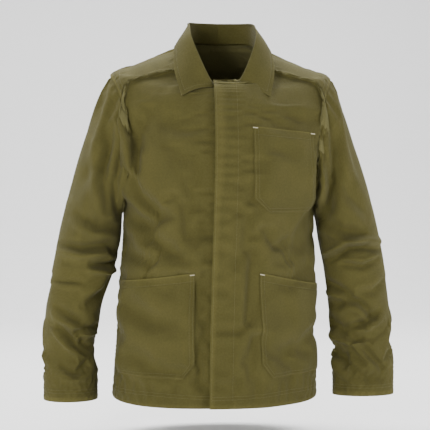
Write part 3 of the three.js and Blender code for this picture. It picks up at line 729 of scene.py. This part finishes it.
def press_rows(cloth, strength, spots):
    """Puckers along the fly, where the stitched layers are drawn in at each button."""
    points, normals = cloth.points, cloth.normals()
    x, z = points[..., 0], points[..., 2]
    lean = HEM_LEAN * smooth((-0.15 - z) / (-0.15 - HEM_Z))
    across = x + lean
    shift = np.zeros(x.shape)
    for number, spot in enumerate(spots):
        tilt = 0.12 * math.sin(2.1 * number + 0.6)
        reach = np.exp(-((across - 0.008) / 0.017) ** 2)
        shift -= strength * reach * np.exp(-(((z - spot) - tilt * across) / 0.006) ** 2)
        shift += 0.6 * strength * reach * np.exp(-(((z - spot - 0.014) - tilt * across) / 0.007) ** 2)
    return Cloth(points + normals * shift[..., None], cloth.ring)


def groove(cloth, gap_of, width, depth):
    """A shallow valley where gap_of(points) is zero, with small puckers along it."""
    points, normals = cloth.points, cloth.normals()
    gap = gap_of(points)
    run = points[..., 2] + points[..., 0] * 0.7
    puckers = 0.7 + 0.3 * np.sin(run * 2 * math.pi / 0.011 + 2.0 * np.sin(run * 90))
    shift = -depth * puckers * np.exp(-((gap / width) ** 2))
    return Cloth(points + normals * shift[..., None], cloth.ring)


button_z = [(lambda b: (b[0][2] + b[1][2]) / 2)(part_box(f"button_{i + 1}")) for i in range(6)]
GRAIN = 3

fronts = {}
for side, sign, edge_x, folds, lift in (("left", 1, -FLY_OVERLAP, left_folds, LEFT_LIFT),
                                        ("right", -1, -FLY_OVERLAP, right_folds, 0.0)):
    cloth = front_cloth(edge_x, sign, lift)
    plans[side + "_front"] = cloth
    if sign < 0:
        cloth = Cloth(cloth.points[:, ::-1])
    cloth = work_in(cloth, folds)
    cloth = ease(cloth, 14, 0.035, 0.007, edges_pinned(cloth, 4, 2.0, 2.5))
    cloth = cloth.finer(GRAIN)
    if sign > 0:
        cloth = press_rows(cloth, 0.0014, [z + 0.006 for z in button_z])
        cloth = groove(cloth, lambda p: p[..., 0] + HEM_LEAN * smooth((-0.15 - p[..., 2]) / (-0.15 - HEM_Z))
                       - FLY_STITCH_X, 0.0022, 0.0007)
    cloth = groove(cloth, lambda p: p[..., 2] - HEM_Z - 0.021 + HEM_DIP * smooth(-p[..., 1] / 0.148),
                   0.0022, 0.0006)
    fronts[side] = tuck(cloth, last_row=True)


def front_wear(cloth, free_columns):
    rows, columns = cloth.points.shape[:2]
    wear = np.zeros((rows, columns))
    wear[:2] += 0.5
    wear[:, free_columns] += 0.5
    return wear


left_front = cloth_object("left_front", fronts["left"], right_side, "torso", 0.0014,
                          front_wear(fronts["left"], slice(0, 2)), rides=False)
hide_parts("left_front_panel", "left_fly_cover")
right_front = cloth_object("right_front", fronts["right"], right_side, "torso", 0.0014,
                           front_wear(fronts["right"], slice(-2, None)), rides=False)
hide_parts("right_front_panel", "right_button_stand")

# ---- Back ----
# One piece from side seam to side seam, up to the straight back yoke seam.
BACK_COLUMNS, BACK_ROWS = 60, 76


def turned(pair):
    return math.pi - pair[0], pair[1]


back_at = coons(lambda p: (math.pi * p, 0 * p),
                lambda p: (lerp(back_corner[0], math.pi - back_corner[0], p), back_corner[1] + 0 * p),
                lambda q: side_line(q, True), lambda q: turned(side_line(q, True)))
back_folds = [
    ([(0.190, -0.250), (0.120, -0.330), (0.020, -0.360)], 0.020, 0.005, 0.4),
    ([(-0.190, -0.240), (-0.110, -0.320), (-0.010, -0.370)], 0.020, 0.005, 0.4),
    ([(0.100, -0.180), (0.090, -0.350), (0.110, -0.560)], 0.026, 0.004, 0.3),
    ([(-0.090, -0.190), (-0.100, -0.380), (-0.080, -0.600)], 0.026, 0.004, 0.3),
    ([(0.180, -0.420), (0.080, -0.460), (-0.060, -0.450)], 0.024, 0.004, 0.4),
    ([(-0.190, -0.500), (-0.100, -0.530), (0.020, -0.520)], 0.024, 0.004, 0.4),
]
back_cloth = lay_out(BACK_COLUMNS, BACK_ROWS, lambda p, q: body_point(*back_at(p, q)))
plans["back"] = back_cloth
back_cloth = work_in(back_cloth, back_folds, facing=1)
back_cloth = ease(back_cloth, 14, 0.03, 0.008, edges_pinned(back_cloth, 4, 2.0, 1.0)).finer(GRAIN)
back_cloth = groove(back_cloth, lambda p: p[..., 2] - HEM_Z - 0.021, 0.0022, 0.0006)
back_cloth = tuck(back_cloth, last_row=True, columns=True)
back_wear = np.zeros(back_cloth.points.shape[:2])
back_wear[:2] = 0.5
back = cloth_object("back", back_cloth, right_side, "torso", 0.0014, back_wear)
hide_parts("back_panel")

# ---- Yoke ----
# One piece round the neck, from one forward seam over both shoulders to the other. Its seam
# allowances lie under it and are held by two rows of stitching.
YOKE_TURN, YOKE_BACK_TURN = 0.15, 0.30


def yoke_edges(k):
    half = np.where(k <= 0.5, k, 1 - k)
    a = np.clip(half / YOKE_TURN, 0, 1)
    b = np.clip((half - YOKE_TURN) / (YOKE_BACK_TURN - YOKE_TURN), 0, 1)
    c = np.clip((half - YOKE_BACK_TURN) / (0.5 - YOKE_BACK_TURN), 0, 1)
    first, second = half < YOKE_TURN, half < YOKE_BACK_TURN
    neck_u = np.where(first, lerp(YOKE_NECK_ANGLE, 0, a),
                      np.where(second, lerp(0, 0.95, b), lerp(0.95, math.pi / 2, c)))
    fu, fs = armhole_place(lerp(YOKE_FRONT_Z, TIP_Z, a), False)
    bu, bs = armhole_place(lerp(TIP_Z, YOKE_BACK_Z, b), True)
    outer_u = np.where(first, fu, np.where(second, bu, lerp(back_corner[0], math.pi / 2, c)))
    outer_s = np.where(first, fs, np.where(second, bs, back_corner[1]))
    far = k > 0.5
    return np.where(far, math.pi - neck_u, neck_u), np.where(far, math.pi - outer_u, outer_u), outer_s


def yoke_place(p, q):
    neck_u, outer_u, outer_s = yoke_edges(p)
    return body_point(lerp(outer_u, neck_u, q), lerp(outer_s, float(NECK), q))


yoke_cloth = lay_out(120, 18, yoke_place)
plans["yoke"] = yoke_cloth
yoke_cloth = ease(yoke_cloth, 12, 0.02, 0.004, edges_pinned(yoke_cloth, 3)).finer(2)
yoke_wear = np.zeros(yoke_cloth.points.shape[:2])
yoke_wear[:2] = 0.6
yoke = cloth_object("yoke", yoke_cloth, right_side, "torso", 0.0018, yoke_wear)
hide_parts("back_yoke")

# ---- Sleeves ----
# One-piece sleeves with a seam under the arm and a turned-up hem. Each is made whole, then
# divided above the elbow.
ELBOW_Z = -0.440
cuff_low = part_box("left_lower_sleeve")[0][2]
CUFF_Z = cuff_low - 0.001
SLEEVE_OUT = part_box("left_lower_sleeve")[1][0] - CLOTH
SLEEVE_AROUND, SLEEVE_ROWS = 64, 104
SPLIT_ROW = 58
cuff_width = {"left": 0.130, "right": 0.110}
cuff_depth = {"left": 0.036, "right": 0.046}


def sleeve_place(side):
    inner_cuff = SLEEVE_OUT - cuff_width[side]
    pull = (cuff_width[side] - 0.120) / 0.120
    outer_x = [SHOULDER_HALF, 0.263, 0.292, 0.318, 0.341, 0.353, SLEEVE_OUT - 0.003, SLEEVE_OUT, SLEEVE_OUT]
    outer_z = [TIP_Z, -0.108, -0.184, -0.270, ELBOW_Z + 0.075, ELBOW_Z + 0.005, ELBOW_Z - 0.075,
               CUFF_Z + 0.100, CUFF_Z]
    inner_x = [CHEST_HALF, CHEST_HALF + 0.007, CHEST_HALF + 0.010, CHEST_HALF + 0.011, CHEST_HALF + 0.015,
               0.226 - 0.006 * pull, inner_cuff - 0.002, inner_cuff, inner_cuff]
    inner_z = [ARMPIT_Z, ARMPIT_Z - 0.001, ARMPIT_Z - 0.014, ARMPIT_Z - 0.032, ELBOW_Z + 0.048, ELBOW_Z - 0.004,
               ELBOW_Z - 0.084, CUFF_Z + 0.095, CUFF_Z]
    half_depth = [0.060, 0.074, 0.071, 0.066, 0.060, 0.054, 0.050, 0.044, cuff_depth[side]]

    def place(v, t):
        s = t * 8
        angle = 2 * math.pi * v
        share = (1 - np.cos(angle)) / 2
        outer = np.stack([through(outer_x, s), through(outer_z, s)], -1)
        inner = np.stack([through(inner_x, s), through(inner_z, s)], -1)
        flat = lerp(outer, inner, share[..., None])
        oval = -through(half_depth, s) * np.sin(angle) + lerp(0.006, -0.012, smooth(t))
        z = lerp(TIP_Z, ARMPIT_Z, share)
        seam_front = body_point(*armhole_place(z, False))
        seam_back = body_point(*armhole_place(z, True))
        seam = np.where((angle > math.pi)[..., None], seam_back, seam_front)
        lean = HEM_LEAN * smooth((-0.15 - z) / (-0.15 - HEM_Z))
        weight = 1 - smooth(t / 0.3)
        y = lerp(oval, seam[..., 1], weight)
        straight = lerp(SHOULDER_HALF, CHEST_HALF, share)
        x = flat[..., 0] + (seam[..., 0] + lean - straight) * weight
        x = x - lean * weight * (1 if side == "left" else -1)
        return np.stack([x, y, flat[..., 1]], -1)

    return place


sleeve_folds = {
    "left": [
        ([(0.345, -0.402), (0.300, -0.396), (0.264, -0.400), (0.225, -0.430)], 0.008, 0.015, 0.9),
        ([(0.335, -0.424), (0.295, -0.436), (0.245, -0.432)], 0.007, 0.008, 0.7),
        ([(0.212, -0.470), (0.236, -0.478), (0.276, -0.498)], 0.009, 0.011, 0.8),
        ([(0.234, -0.526), (0.262, -0.506), (0.288, -0.512), (0.326, -0.552)], 0.009, 0.011, 0.8),
        ([(0.255, -0.566), (0.294, -0.556), (0.338, -0.530)], 0.009, 0.011, 0.8),
        ([(0.216, -0.540), (0.253, -0.571), (0.296, -0.596)], 0.011, 0.013, 0.8),
        ([(0.222, -0.600), (0.253, -0.636), (0.278, -0.668)], 0.012, 0.011, 0.7),
        ([(0.285, -0.600), (0.318, -0.636), (0.340, -0.660)], 0.010, 0.007, 0.6),
        ([(0.350, -0.470), (0.320, -0.490), (0.280, -0.492)], 0.010, 0.007, 0.6),
        ([(0.236, -0.150), (0.238, -0.240), (0.224, -0.330)], 0.012, 0.018, 0.6),
        ([(0.214, -0.200), (0.226, -0.280), (0.218, -0.345)], 0.009, 0.012, 0.6),
        ([(0.230, -0.230), (0.266, -0.290), (0.314, -0.330)], 0.016, 0.010, 0.6),
        ([(0.216, -0.340), (0.250, -0.362), (0.304, -0.368)], 0.010, 0.010, 0.7),
        ([(0.250, -0.130), (0.276, -0.190), (0.290, -0.260)], 0.016, 0.006, 0.5),
        ([(0.262, -0.660), (0.300, -0.676), (0.340, -0.672)], 0.012, 0.005, 0.5),
    ],
    "right": [
        ([(-0.345, -0.388), (-0.290, -0.396), (-0.240, -0.392), (-0.212, -0.414)], 0.009, 0.013, 0.9),
        ([(-0.280, -0.430), (-0.240, -0.434), (-0.208, -0.426)], 0.007, 0.013, 0.9),
        ([(-0.355, -0.464), (-0.284, -0.467)], 0.006, 0.006, 0.6),
        ([(-0.348, -0.514), (-0.315, -0.532), (-0.272, -0.554)], 0.009, 0.011, 0.8),
        ([(-0.305, -0.570), (-0.275, -0.560), (-0.238, -0.562)], 0.007, 0.010, 0.8),
        ([(-0.338, -0.552), (-0.305, -0.586), (-0.264, -0.618)], 0.010, 0.012, 0.8),
        ([(-0.300, -0.560), (-0.280, -0.590), (-0.256, -0.610)], 0.007, 0.008, 0.7),
        ([(-0.335, -0.644), (-0.300, -0.654), (-0.268, -0.640)], 0.010, 0.007, 0.6),
        ([(-0.222, -0.450), (-0.240, -0.490), (-0.284, -0.510)], 0.011, 0.009, 0.7),
        ([(-0.234, -0.150), (-0.248, -0.240), (-0.232, -0.335)], 0.013, 0.016, 0.6),
        ([(-0.212, -0.190), (-0.226, -0.270), (-0.214, -0.345)], 0.009, 0.012, 0.6),
        ([(-0.310, -0.322), (-0.262, -0.350), (-0.213, -0.358)], 0.011, 0.010, 0.7),
        ([(-0.216, -0.160), (-0.240, -0.210), (-0.288, -0.262)], 0.015, 0.008, 0.5),
        ([(-0.330, -0.300), (-0.296, -0.260), (-0.262, -0.190)], 0.018, 0.006, 0.5),
    ],
}

sleeves = {}
for side, sign in (("left", 1), ("right", -1)):
    place = sleeve_place(side)
    if sign > 0:
        cloth = lay_out(SLEEVE_AROUND, SLEEVE_ROWS, place, ring=True)
    else:
        cloth = lay_out(SLEEVE_AROUND, SLEEVE_ROWS,
                        lambda v, t: place(1 - v, t) * np.array([-1, 1, 1]), ring=True)
    plans[side + "_sleeve"] = cloth
    cloth = work_in(cloth, sleeve_folds[side])
    cloth = ease(cloth, 16, 0.05, 0.009, edges_pinned(cloth, 4, 1.0, 3.0)).finer(2)
    cloth = groove(cloth, lambda p: p[..., 2] - CUFF_Z - 0.021, 0.0022, 0.0006)
    cloth = tuck(cloth, first_row=True)
    sleeves[side] = cloth
    cut = SPLIT_ROW * 2
    wear = np.zeros(cloth.points.shape[:2])
    wear[-3:] = 0.6
    upper = cloth_object(f"{side}_sleeve_upper", Cloth(cloth.points[:cut + 1], True), right_side,
                         f"{side}_upper_arm", 0.0014, wear[:cut + 1], rides=False)
    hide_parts(f"{side}_upper_sleeve")
    sleeves[side + "_upper"] = upper
    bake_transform(upper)
    lower = cloth_object(f"{side}_sleeve_lower", Cloth(cloth.points[cut:], True), right_side,
                         f"{side}_forearm", 0.0014, wear[cut:], rides=False)
    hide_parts(f"{side}_lower_sleeve")
    sleeves[side + "_lower"] = lower
    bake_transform(lower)

strips = []


def turn_up(name, cloth, height, body, rides=True):
    """The turned-up edge behind a hem: the lowest rows of a piece, laid against its wrong side."""
    level = cloth.points[..., 2].mean(1)
    kept = np.flatnonzero(level - level.min() < height)
    cut = (cloth.points - cloth.normals() * 0.0019)[kept]
    end, nearby = (0, 1) if kept[0] == 0 else (-1, -2)
    cut[end] = lerp(cut[end], cut[nearby], 0.35)
    strip = Cloth(cut, cloth.ring)
    piece = cloth_object(name, strip, wrong_side_painted_light, body, 0.0012, inside=right_side, rides=rides)
    strips.append((piece, strip))
    return piece


# ---- Hems ----
# The bottom of every piece is turned up twice inside and stitched down with two rows.
back_hem = turn_up("back_turn_up", back_cloth, 0.022, "torso")
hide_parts("back_hem")
left_hem = turn_up("left_front_turn_up", fronts["left"], 0.022, "torso", False)
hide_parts("left_front_hem")
right_hem = turn_up("right_front_turn_up", fronts["right"], 0.022, "torso", False)
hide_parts("right_front_hem")
for side in ("left", "right"):
    turn_up(f"{side}_cuff_turn_up", sleeves[side], 0.022, f"{side}_forearm")
    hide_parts(f"{side}_cuff_hem")

# ---- Buttonhole band ----
# A strip of twill behind the wearer's left front edge, with six worked buttonholes. The front's
# own edge covers it, so the buttons never show.
BAND_COLUMNS = 7 * GRAIN
left_points = fronts["left"].points
band_low = 2 * GRAIN
band_grid = (left_points - fronts["left"].normals() * 0.0020)[band_low:-4, 1:BAND_COLUMNS]
band_cloth = Cloth(band_grid)
band = cloth_object("buttonhole_band", band_cloth, right_side, "torso", 0.0012, rides=False)
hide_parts("left_buttonhole_band")
hole_rows = []
for spot in button_z:
    rows_z = band_cloth.points[:, 10, 2]
    q = float(np.interp(spot, rows_z, np.linspace(0, 1, len(rows_z))))
    for shift in (-0.0011, 0.0011):
        centre = band_cloth.at(span(0.42, 0.80, 22), np.full(22, q), 0) + np.array([0, 0.0013, shift])
        tangent = np.tile([0.0, 0.0, 1.0], (22, 1))
        hole_rows.append((centre, tangent, np.tile([0.0, 1.0, 0.0], (22, 1))))
holes = stitch_object("buttonhole_thread", hole_rows, "torso", half_length=0.0011, half_width=0.0005,
                      rides=False)

# ---- Buttons ----
# Six four-hole buttons of dark resin, sewn to the edge of the wearer's right front.
def surface_under(cloth):
    rows, columns = cloth.points.shape[:2]
    return BVHTree.FromPolygons([Vector(v) for v in cloth.points.reshape(-1, 3)],
                                grid_faces(rows, columns, cloth.ring))


right_surface = surface_under(fronts["right"])
resin, _, resin_shader = new_material("button_resin")
resin_shader.inputs["Base Color"].default_value = (0.022, 0.018, 0.012, 1)
resin_shader.inputs["Roughness"].default_value = 0.32
for number in range(1, 7):
    low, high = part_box(f"button_{number}")
    radius = (high[0] - low[0]) / 2
    middle = ((low[0] + high[0]) / 2, -0.3, (low[2] + high[2]) / 2)
    hit, out = right_surface.ray_cast(Vector(middle), Vector((0, 1, 0)), 0.4)[:2]
    out = out if out.y < 0 else -out
    face = np.array(out)
    tilt = math.atan2(face[2], -face[1])
    centre = np.array(hit) + face * 0.0016
    bpy.ops.object.select_all(action="DESELECT")
    bpy.ops.mesh.primitive_cylinder_add(vertices=40, radius=radius, depth=0.0024, location=tuple(centre),
                                        rotation=(math.pi / 2 - tilt, 0, 0))
    button = bpy.context.object
    button.name = f"shirt_button_{number}"
    edge = button.modifiers.new("edge", "BEVEL")
    edge.width = 0.0007
    edge.segments = 3
    edge.angle_limit = math.radians(40)
    bpy.ops.object.modifier_apply(modifier=edge.name)
    bpy.ops.object.transform_apply(location=True, rotation=True, scale=True)
    bpy.ops.object.shade_smooth_by_angle(angle=math.radians(35))
    button.data.materials.append(resin)
    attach(button, "right_front")
    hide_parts(f"button_{number}")
    up = np.array([0.0, math.sin(tilt), math.cos(tilt)])
    thread = []
    for across in (-0.0012, 0.0012):
        centres = np.array([centre + face * 0.00125 + np.array([across, 0, 0]) for _ in range(2)])
        centres[1] += np.array([0.0002, 0, 0])
        thread.append((centres, np.tile(up, (2, 1)), np.tile(face, (2, 1))))
    stitch_object(f"button_thread_{number}", thread, "right_front", half_length=0.0020, half_width=0.0006)

# ---- Collar ----
# A one-piece fold-down collar in two layers, cut on the straight with long points, rolled over its
# own stand and sewn to the neck. It is topstitched along its edge.
roll_stations = np.array([(0.022, -0.093, -0.082), (0.044, -0.092, -0.032), (0.064, -0.072, 0.024),
                          (0.066, -0.032, 0.056), (0.066, 0.014, 0.070), (0.044, 0.044, 0.075),
                          (0.0, 0.056, 0.0765)])
edge_stations = np.array([(0.089, -0.110, -0.101), (0.102, -0.078, -0.044), (0.100, -0.030, 0.006),
                          (0.092, 0.036, 0.014), (0.058, 0.078, 0.018), (0.030, 0.086, 0.020),
                          (0.0, 0.089, 0.020)])
COLLAR_LONG, COLLAR_DEEP = 60, 40


def collar_place(p, q):
    at = p * 6
    neck = body_point(lerp(-1.36, math.pi / 2, p ** 0.9), np.full(p.shape, float(NECK)))
    neck = neck * np.array([0.93, 0.93, 1.0]) + np.array([0, 0, 0.001])
    roll, edge = through(roll_stations, at), through(edge_stations, at)
    inner = np.clip(q / 0.42, 0, 1)[..., None]
    outer = np.clip((q - 0.42) / 0.58, 0, 1)[..., None]
    stand = lerp(neck, roll, inner) + np.array([0, 0, 0.004]) * np.sin(math.pi * inner)
    away = edge - roll
    flat_away = away * np.array([1, 1, 0])
    flat_away /= np.maximum(np.linalg.norm(flat_away, axis=-1, keepdims=True), 1e-9)
    bulge = flat_away * 0.010 + np.array([0, 0, 0.006])
    fall = (lerp(roll, edge, outer)
            + bulge * np.sin(math.pi * np.clip(outer, 0, 1)) ** 0.8 * (1 - 0.55 * outer))
    return np.where(q[..., None] < 0.42, stand, fall)


def soften(points, times):
    """Rounds a sharp fold without moving the piece's outline."""
    for _ in range(times):
        inner = points[1:-1]
        points = np.concatenate([points[:1], (points[:-2] + 2 * inner + points[2:]) / 4, points[-1:]], 0)
    return points


collars = {}
for side, sign in (("left", 1), ("right", -1)):
    cloth = lay_out(COLLAR_LONG, COLLAR_DEEP, lambda p, q: collar_place(p, q) * np.array([sign, 1, 1]))
    cloth = Cloth(soften(cloth.points, 6))
    if sign > 0:
        cloth = Cloth(cloth.points[:, ::-1])
    cloth = cloth.finer(2)
    u, v = cloth.lengths()
    to_edge = v[-1:, :] - v
    seam = 0.0007 * np.exp(-((to_edge - 0.007) / 0.0014) ** 2)
    cloth = Cloth(cloth.points - cloth.normals() * seam[..., None])
    collars[side] = cloth
    wear = np.clip(1 - to_edge / 0.0015, 0, 1) * 0.8
    piece = cloth_object(f"{side}_collar", cloth, right_side, "torso", 0.0030, wear,
                         inside=right_side, rides=False)
    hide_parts("upper_collar", "under_collar")
    collars[side + "_piece"] = piece

# ---- Pockets ----
# Three patch pockets, each with one lower corner cut off, a wide hem at the mouth and two rows of
# stitching round the rest. The hip pockets run into the side seams.
pocket_sizes = {
    "left_chest": dict(x0=0.052, x1=0.178, top=-0.163, rise=-0.009, height=0.172,
        cornerX=0.028, cornerZ=0.030, sign=1),
    "left_hip": dict(x0=0.065, x1=0.190, top=-0.452, rise=-0.027, height=0.208,
        cornerX=0.022, cornerZ=0.030, sign=1),
    "right_hip": dict(x0=0.065, x1=0.190, top=-0.452, rise=-0.018, height=0.208,
        cornerX=0.022, cornerZ=0.030, sign=-1),
}
pockets = {}
for name, cut in pocket_sizes.items():
    under = surface_under(fronts["left" if cut["sign"] > 0 else "right"])
    sign = cut["sign"]

    def place(p, q):
        share = np.clip(q * cut["height"] / cut["cornerZ"], 0, 1)
        start = cut["x0"] + cut["cornerX"] * (1 - share)
        x = lerp(start, cut["x1"], p)
        along = (x - cut["x0"]) / (cut["x1"] - cut["x0"])
        bottom = cut["top"] - cut["height"]
        z = lerp(bottom + 0.004 * along, cut["top"] + cut["rise"] * along, q)
        base = body_point(*locate(x, z))
        base = base * np.array([sign, 1, 1])
        ahead = body_point(*locate(x + 0.002, z)) * np.array([sign, 1, 1])
        out = np.stack([(ahead - base)[..., 1], -(ahead - base)[..., 0], 0 * x], -1) * sign
        out /= np.linalg.norm(out, axis=-1, keepdims=True)
        hit = np.empty(base.shape)
        for index in np.ndindex(x.shape):
            start_point = Vector(base[index] + out[index] * 0.05)
            found = under.ray_cast(start_point, -Vector(out[index]), 0.12)[0]
            hit[index] = found if found is not None else base[index]
        lift = ((hit - base) * out).sum(-1)
        for _ in range(10):
            wide = np.pad(lift, 1, mode="edge")
            lift = np.maximum(lift, (wide[:-2, 1:-1] + wide[2:, 1:-1] + wide[1:-1, :-2] + wide[1:-1, 2:]) / 4)
        edge = np.minimum(np.minimum(p, 1 - p) * (cut["x1"] - start), q * cut["height"])
        puff = 0.0021 + 0.0014 * smooth((edge - 0.010) / 0.02) * (1 - 0.6 * q)
        puff -= (0.0005 * np.exp(-((edge - 0.0025) / 0.0012) ** 2)
                 + 0.0005 * np.exp(-((edge - 0.0085) / 0.0012) ** 2))
        puff -= 0.0006 * np.exp(-(((1 - q) * cut["height"] - 0.016) / 0.0013) ** 2)
        return base + out * (lift + puff)[..., None]

    cloth = lay_out(62, 90, place)
    if sign < 0:
        cloth = Cloth(cloth.points[:, ::-1])
    cloth = cloth.finer(2)
    rows, columns = cloth.points.shape[:2]
    wear = np.zeros((rows, columns))
    wear[-3:] = 0.8
    wear[:3] = 0.5
    wear[:, :3] = 0.4
    piece = cloth_object(f"{name}_pocket_cloth", cloth, right_side, "torso", 0.0012, wear)
    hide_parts(f"{name}_pocket")
    pockets[name] = cloth
    pockets[name + "_piece"] = piece

# ---- Bar tacks ----
# Short bars of close pale thread across the ends of the pocket mouths.
def tack(name, cloth, p, q, upright, *nodes):
    count = 26
    centre = cloth.at(np.array([p]), np.array([q]), 0.0006)[0]
    across = cloth.at(np.array([min(p + 0.04, 1.0)]), np.array([q]), 0.0006)[0] - cloth.at(
        np.array([max(p - 0.04, 0)]), np.array([q]), 0.0006)[0]
    across /= np.linalg.norm(across)
    out = cloth.at(np.array([p]), np.array([q]), 0.0016)[0] - centre
    out /= np.linalg.norm(out)
    down = np.cross(across, out)
    along, wide = (down, across) if upright else (across, down)
    length = 0.0095
    centres = centre + along * np.linspace(-length / 2, length / 2, count)[:, None]
    tangents = wide + along * (0.25 * (-1.0) ** np.arange(count))[:, None]
    tangents /= np.linalg.norm(tangents, axis=1, keepdims=True)
    piece = stitch_object(name, [(centres, tangents, np.tile(out, (count, 1)))], "torso", pale_thread,
                          0.0013, 0.00042)
    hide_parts(*nodes)
    return piece


tack("chest_tack_a", pockets["left_chest"], 0.02, 0.985, False, "chest_tack_front")
tack("chest_tack_b", pockets["left_chest"], 0.98, 0.985, False, "chest_tack_side")
tack("hip_tack_a", pockets["left_hip"], 0.03, 0.985, False, "left_hip_tack")
tack("hip_tack_b", pockets["right_hip"], 0.97, 0.985, False, "right_hip_tack")

# ---- Topstitching ----
# Olive thread: one row along the fly and the edges, two along hems, pockets and seams.
def row_at(cloth, value_of, p, guess_low=0.0, guess_high=1.0):
    """The share up the piece at which value_of(point) rises through zero, for each share across."""
    low, high = np.full(np.shape(p), guess_low), np.full(np.shape(p), guess_high)
    for _ in range(26):
        mid = (low + high) / 2
        below = value_of(cloth.at(p, mid)) < 0
        low, high = np.where(below, mid, low), np.where(below, high, mid)
    return (low + high) / 2


def column_at(cloth, value_of, q, low_p=0.0, high_p=1.0):
    low, high = np.full(np.shape(q), low_p), np.full(np.shape(q), high_p)
    for _ in range(26):
        mid = (low + high) / 2
        below = value_of(cloth.at(mid, q)) < 0
        low, high = np.where(below, mid, low), np.where(below, high, mid)
    return (low + high) / 2


left, right = fronts["left"], fronts["right"]
level = span(0.012, 0.985, 320)
leaned = lambda p: p[..., 0] + HEM_LEAN * smooth((-0.15 - p[..., 2]) / (-0.15 - HEM_Z))
left_rows = [sew(left, column_at(left, lambda p: leaned(p) - FLY_STITCH_X, level, 0, 0.5), level),
             sew(left, column_at(left, lambda p: leaned(p) + FLY_OVERLAP - 0.0035, level, 0, 0.3), level)]
across = span(0.01, 0.99, 200)
for height in (0.0175, 0.0235):
    left_rows.append(sew(left, across, row_at(left, lambda p: p[..., 2] - left.points[0, 0, 2] - height
                                              - 0.006 * smooth(across * 2), across, 0, 0.2)))
left_thread = stitch_object("left_front_stitching", left_rows, "torso", rides=False)
right_rows = [sew(right, column_at(right, lambda p: leaned(p) - FLY_OVERLAP + 0.0035, level, 0.7, 1.0), level)]
for height in (0.0175, 0.0235):
    right_rows.append(sew(right, across, row_at(right, lambda p: p[..., 2] - right.points[0, -1, 2] - height
                                                - 0.006 * smooth((1 - across) * 2), across, 0, 0.2)))
right_thread = stitch_object("right_front_stitching", right_rows, "torso", rides=False)

body_rows = []
for height in (0.0175, 0.0235):
    body_rows.append(sew(back_cloth, span(0.003, 0.997, 400),
                         row_at(back_cloth, lambda p: p[..., 2] - HEM_Z - height,
                                span(0.003, 0.997, 400), 0, 0.2)))
for lift_in in (0.06, 0.14):
    body_rows.append(sew(yoke_cloth, span(0.004, 0.996, 700), np.full(700, lift_in)))
seam_levels = span(ARMPIT_SHARE + 0.01, 0.995, 160)
for cloth, near in ((left, 1), (right, 0)):
    share = 0.965 if near else 0.035
    body_rows.append(sew(cloth, np.full(160, share), seam_levels))
for share in (0.012, 0.988):
    body_rows.append(sew(back_cloth, np.full(160, share), seam_levels))
body_thread = stitch_object("body_stitching", body_rows, "torso")

for name, cloth in ((n, c) for n, c in pockets.items() if not n.endswith("_piece")):
    sign = pocket_sizes[name]["sign"]
    height = pocket_sizes[name]["height"]
    width = pocket_sizes[name]["x1"] - pocket_sizes[name]["x0"]
    rows = []
    for depth in (0.0025, 0.0085):
        end = 1 - depth / width if name == "left_chest" else 0.995
        first = depth / width if sign > 0 else 1 - end
        last = end if sign > 0 else 1 - depth / width
        rows.append(sew(cloth, span(first, last, 120), np.full(120, depth / height)))
        rows.append(sew(cloth, np.full(160, depth / width if sign > 0 else 1 - depth / width),
                        span(depth / height, 0.995, 160)))
        if name == "left_chest":
            rows.append(sew(cloth, np.full(160, 1 - depth / width), span(depth / height, 0.995, 160)))
    rows.append(sew(cloth, span(0.01, 0.99, 120), np.full(120, 1 - 0.016 / height)))
    stitch_object(f"{name}_pocket_stitching", rows, "torso")

for side, sign in (("left", 1), ("right", -1)):
    sleeve = sleeves[side]
    rows = []
    for height in (0.0175, 0.0235):
        rows.append(sew(sleeve, span(0.0, 0.999, 240), row_at(sleeve, lambda p: CUFF_Z + height - p[..., 2],
                                                             span(0.0, 0.999, 240), 0.9, 1.0)))
    stitch_object(f"{side}_cuff_stitching", rows, f"{side}_forearm")
    cloth = collars[side]
    edge_share = 1 - 0.007 / 0.075
    end = 0.006 / 0.30
    rows = [sew(cloth, span(end, 0.998, 220) if sign < 0 else span(0.002, 1 - end, 220),
                np.full(220, edge_share)),
            sew(cloth, np.full(90, 1 - end if sign > 0 else end), span(0.30, edge_share, 90))]
    collars[side + "_thread"] = stitch_object(f"{side}_collar_stitching", rows, "torso", rides=False)

# ---- Baking the pieces in place ----
# The fronts, with everything sewn to them, and the collars have their placement baked into their points.
for piece in (left_front, left_hem, band, holes, left_thread):
    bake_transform(piece)
for piece in (right_front, right_hem, right_thread):
    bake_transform(piece)
for side, sign in (("left", 1), ("right", -1)):
    for piece in (collars[side + "_piece"], collars[side + "_thread"]):
        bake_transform(piece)

# ---- Cut sizes ----
def cut_size(piece, cloth, rests_on):
    points = cloth.points
    if cloth.ring:
        points = np.concatenate([points, points[:, :1]], 1)
    u, v = Cloth(points).lengths()
    width, length = float(u[:, -1].max()), float(v[-1].max())
    a = np.cross(points[1:, 1:] - points[:-1, :-1], points[1:, :-1] - points[:-1, 1:])
    area = float(np.linalg.norm(a, axis=-1).sum() / 2)
    area = min(area, width * length)


cut_size(left_front, plans["left_front"], yoke)
cut_size(right_front, plans["right_front"], yoke)
cut_size(back, plans["back"], yoke)
cut_size(yoke, plans["yoke"], back)
cut_size(band, band_cloth, left_front)
for side in ("left", "right"):
    plan = plans[side + "_sleeve"].points
    cut_size(sleeves[side + "_upper"], Cloth(plan[:SPLIT_ROW + 1], True), yoke)
    cut_size(sleeves[side + "_lower"], Cloth(plan[SPLIT_ROW:], True), sleeves[side + "_upper"])
    cut_size(collars[side + "_piece"], collars[side], yoke)
for name in pocket_sizes:
    under = left_front if pocket_sizes[name]["sign"] > 0 else right_front
    cut_size(pockets[name + "_piece"], pockets[name], under)
for piece, strip in strips:
    cut_size(piece, strip, back)

bpy.context.scene.frame_set(1)
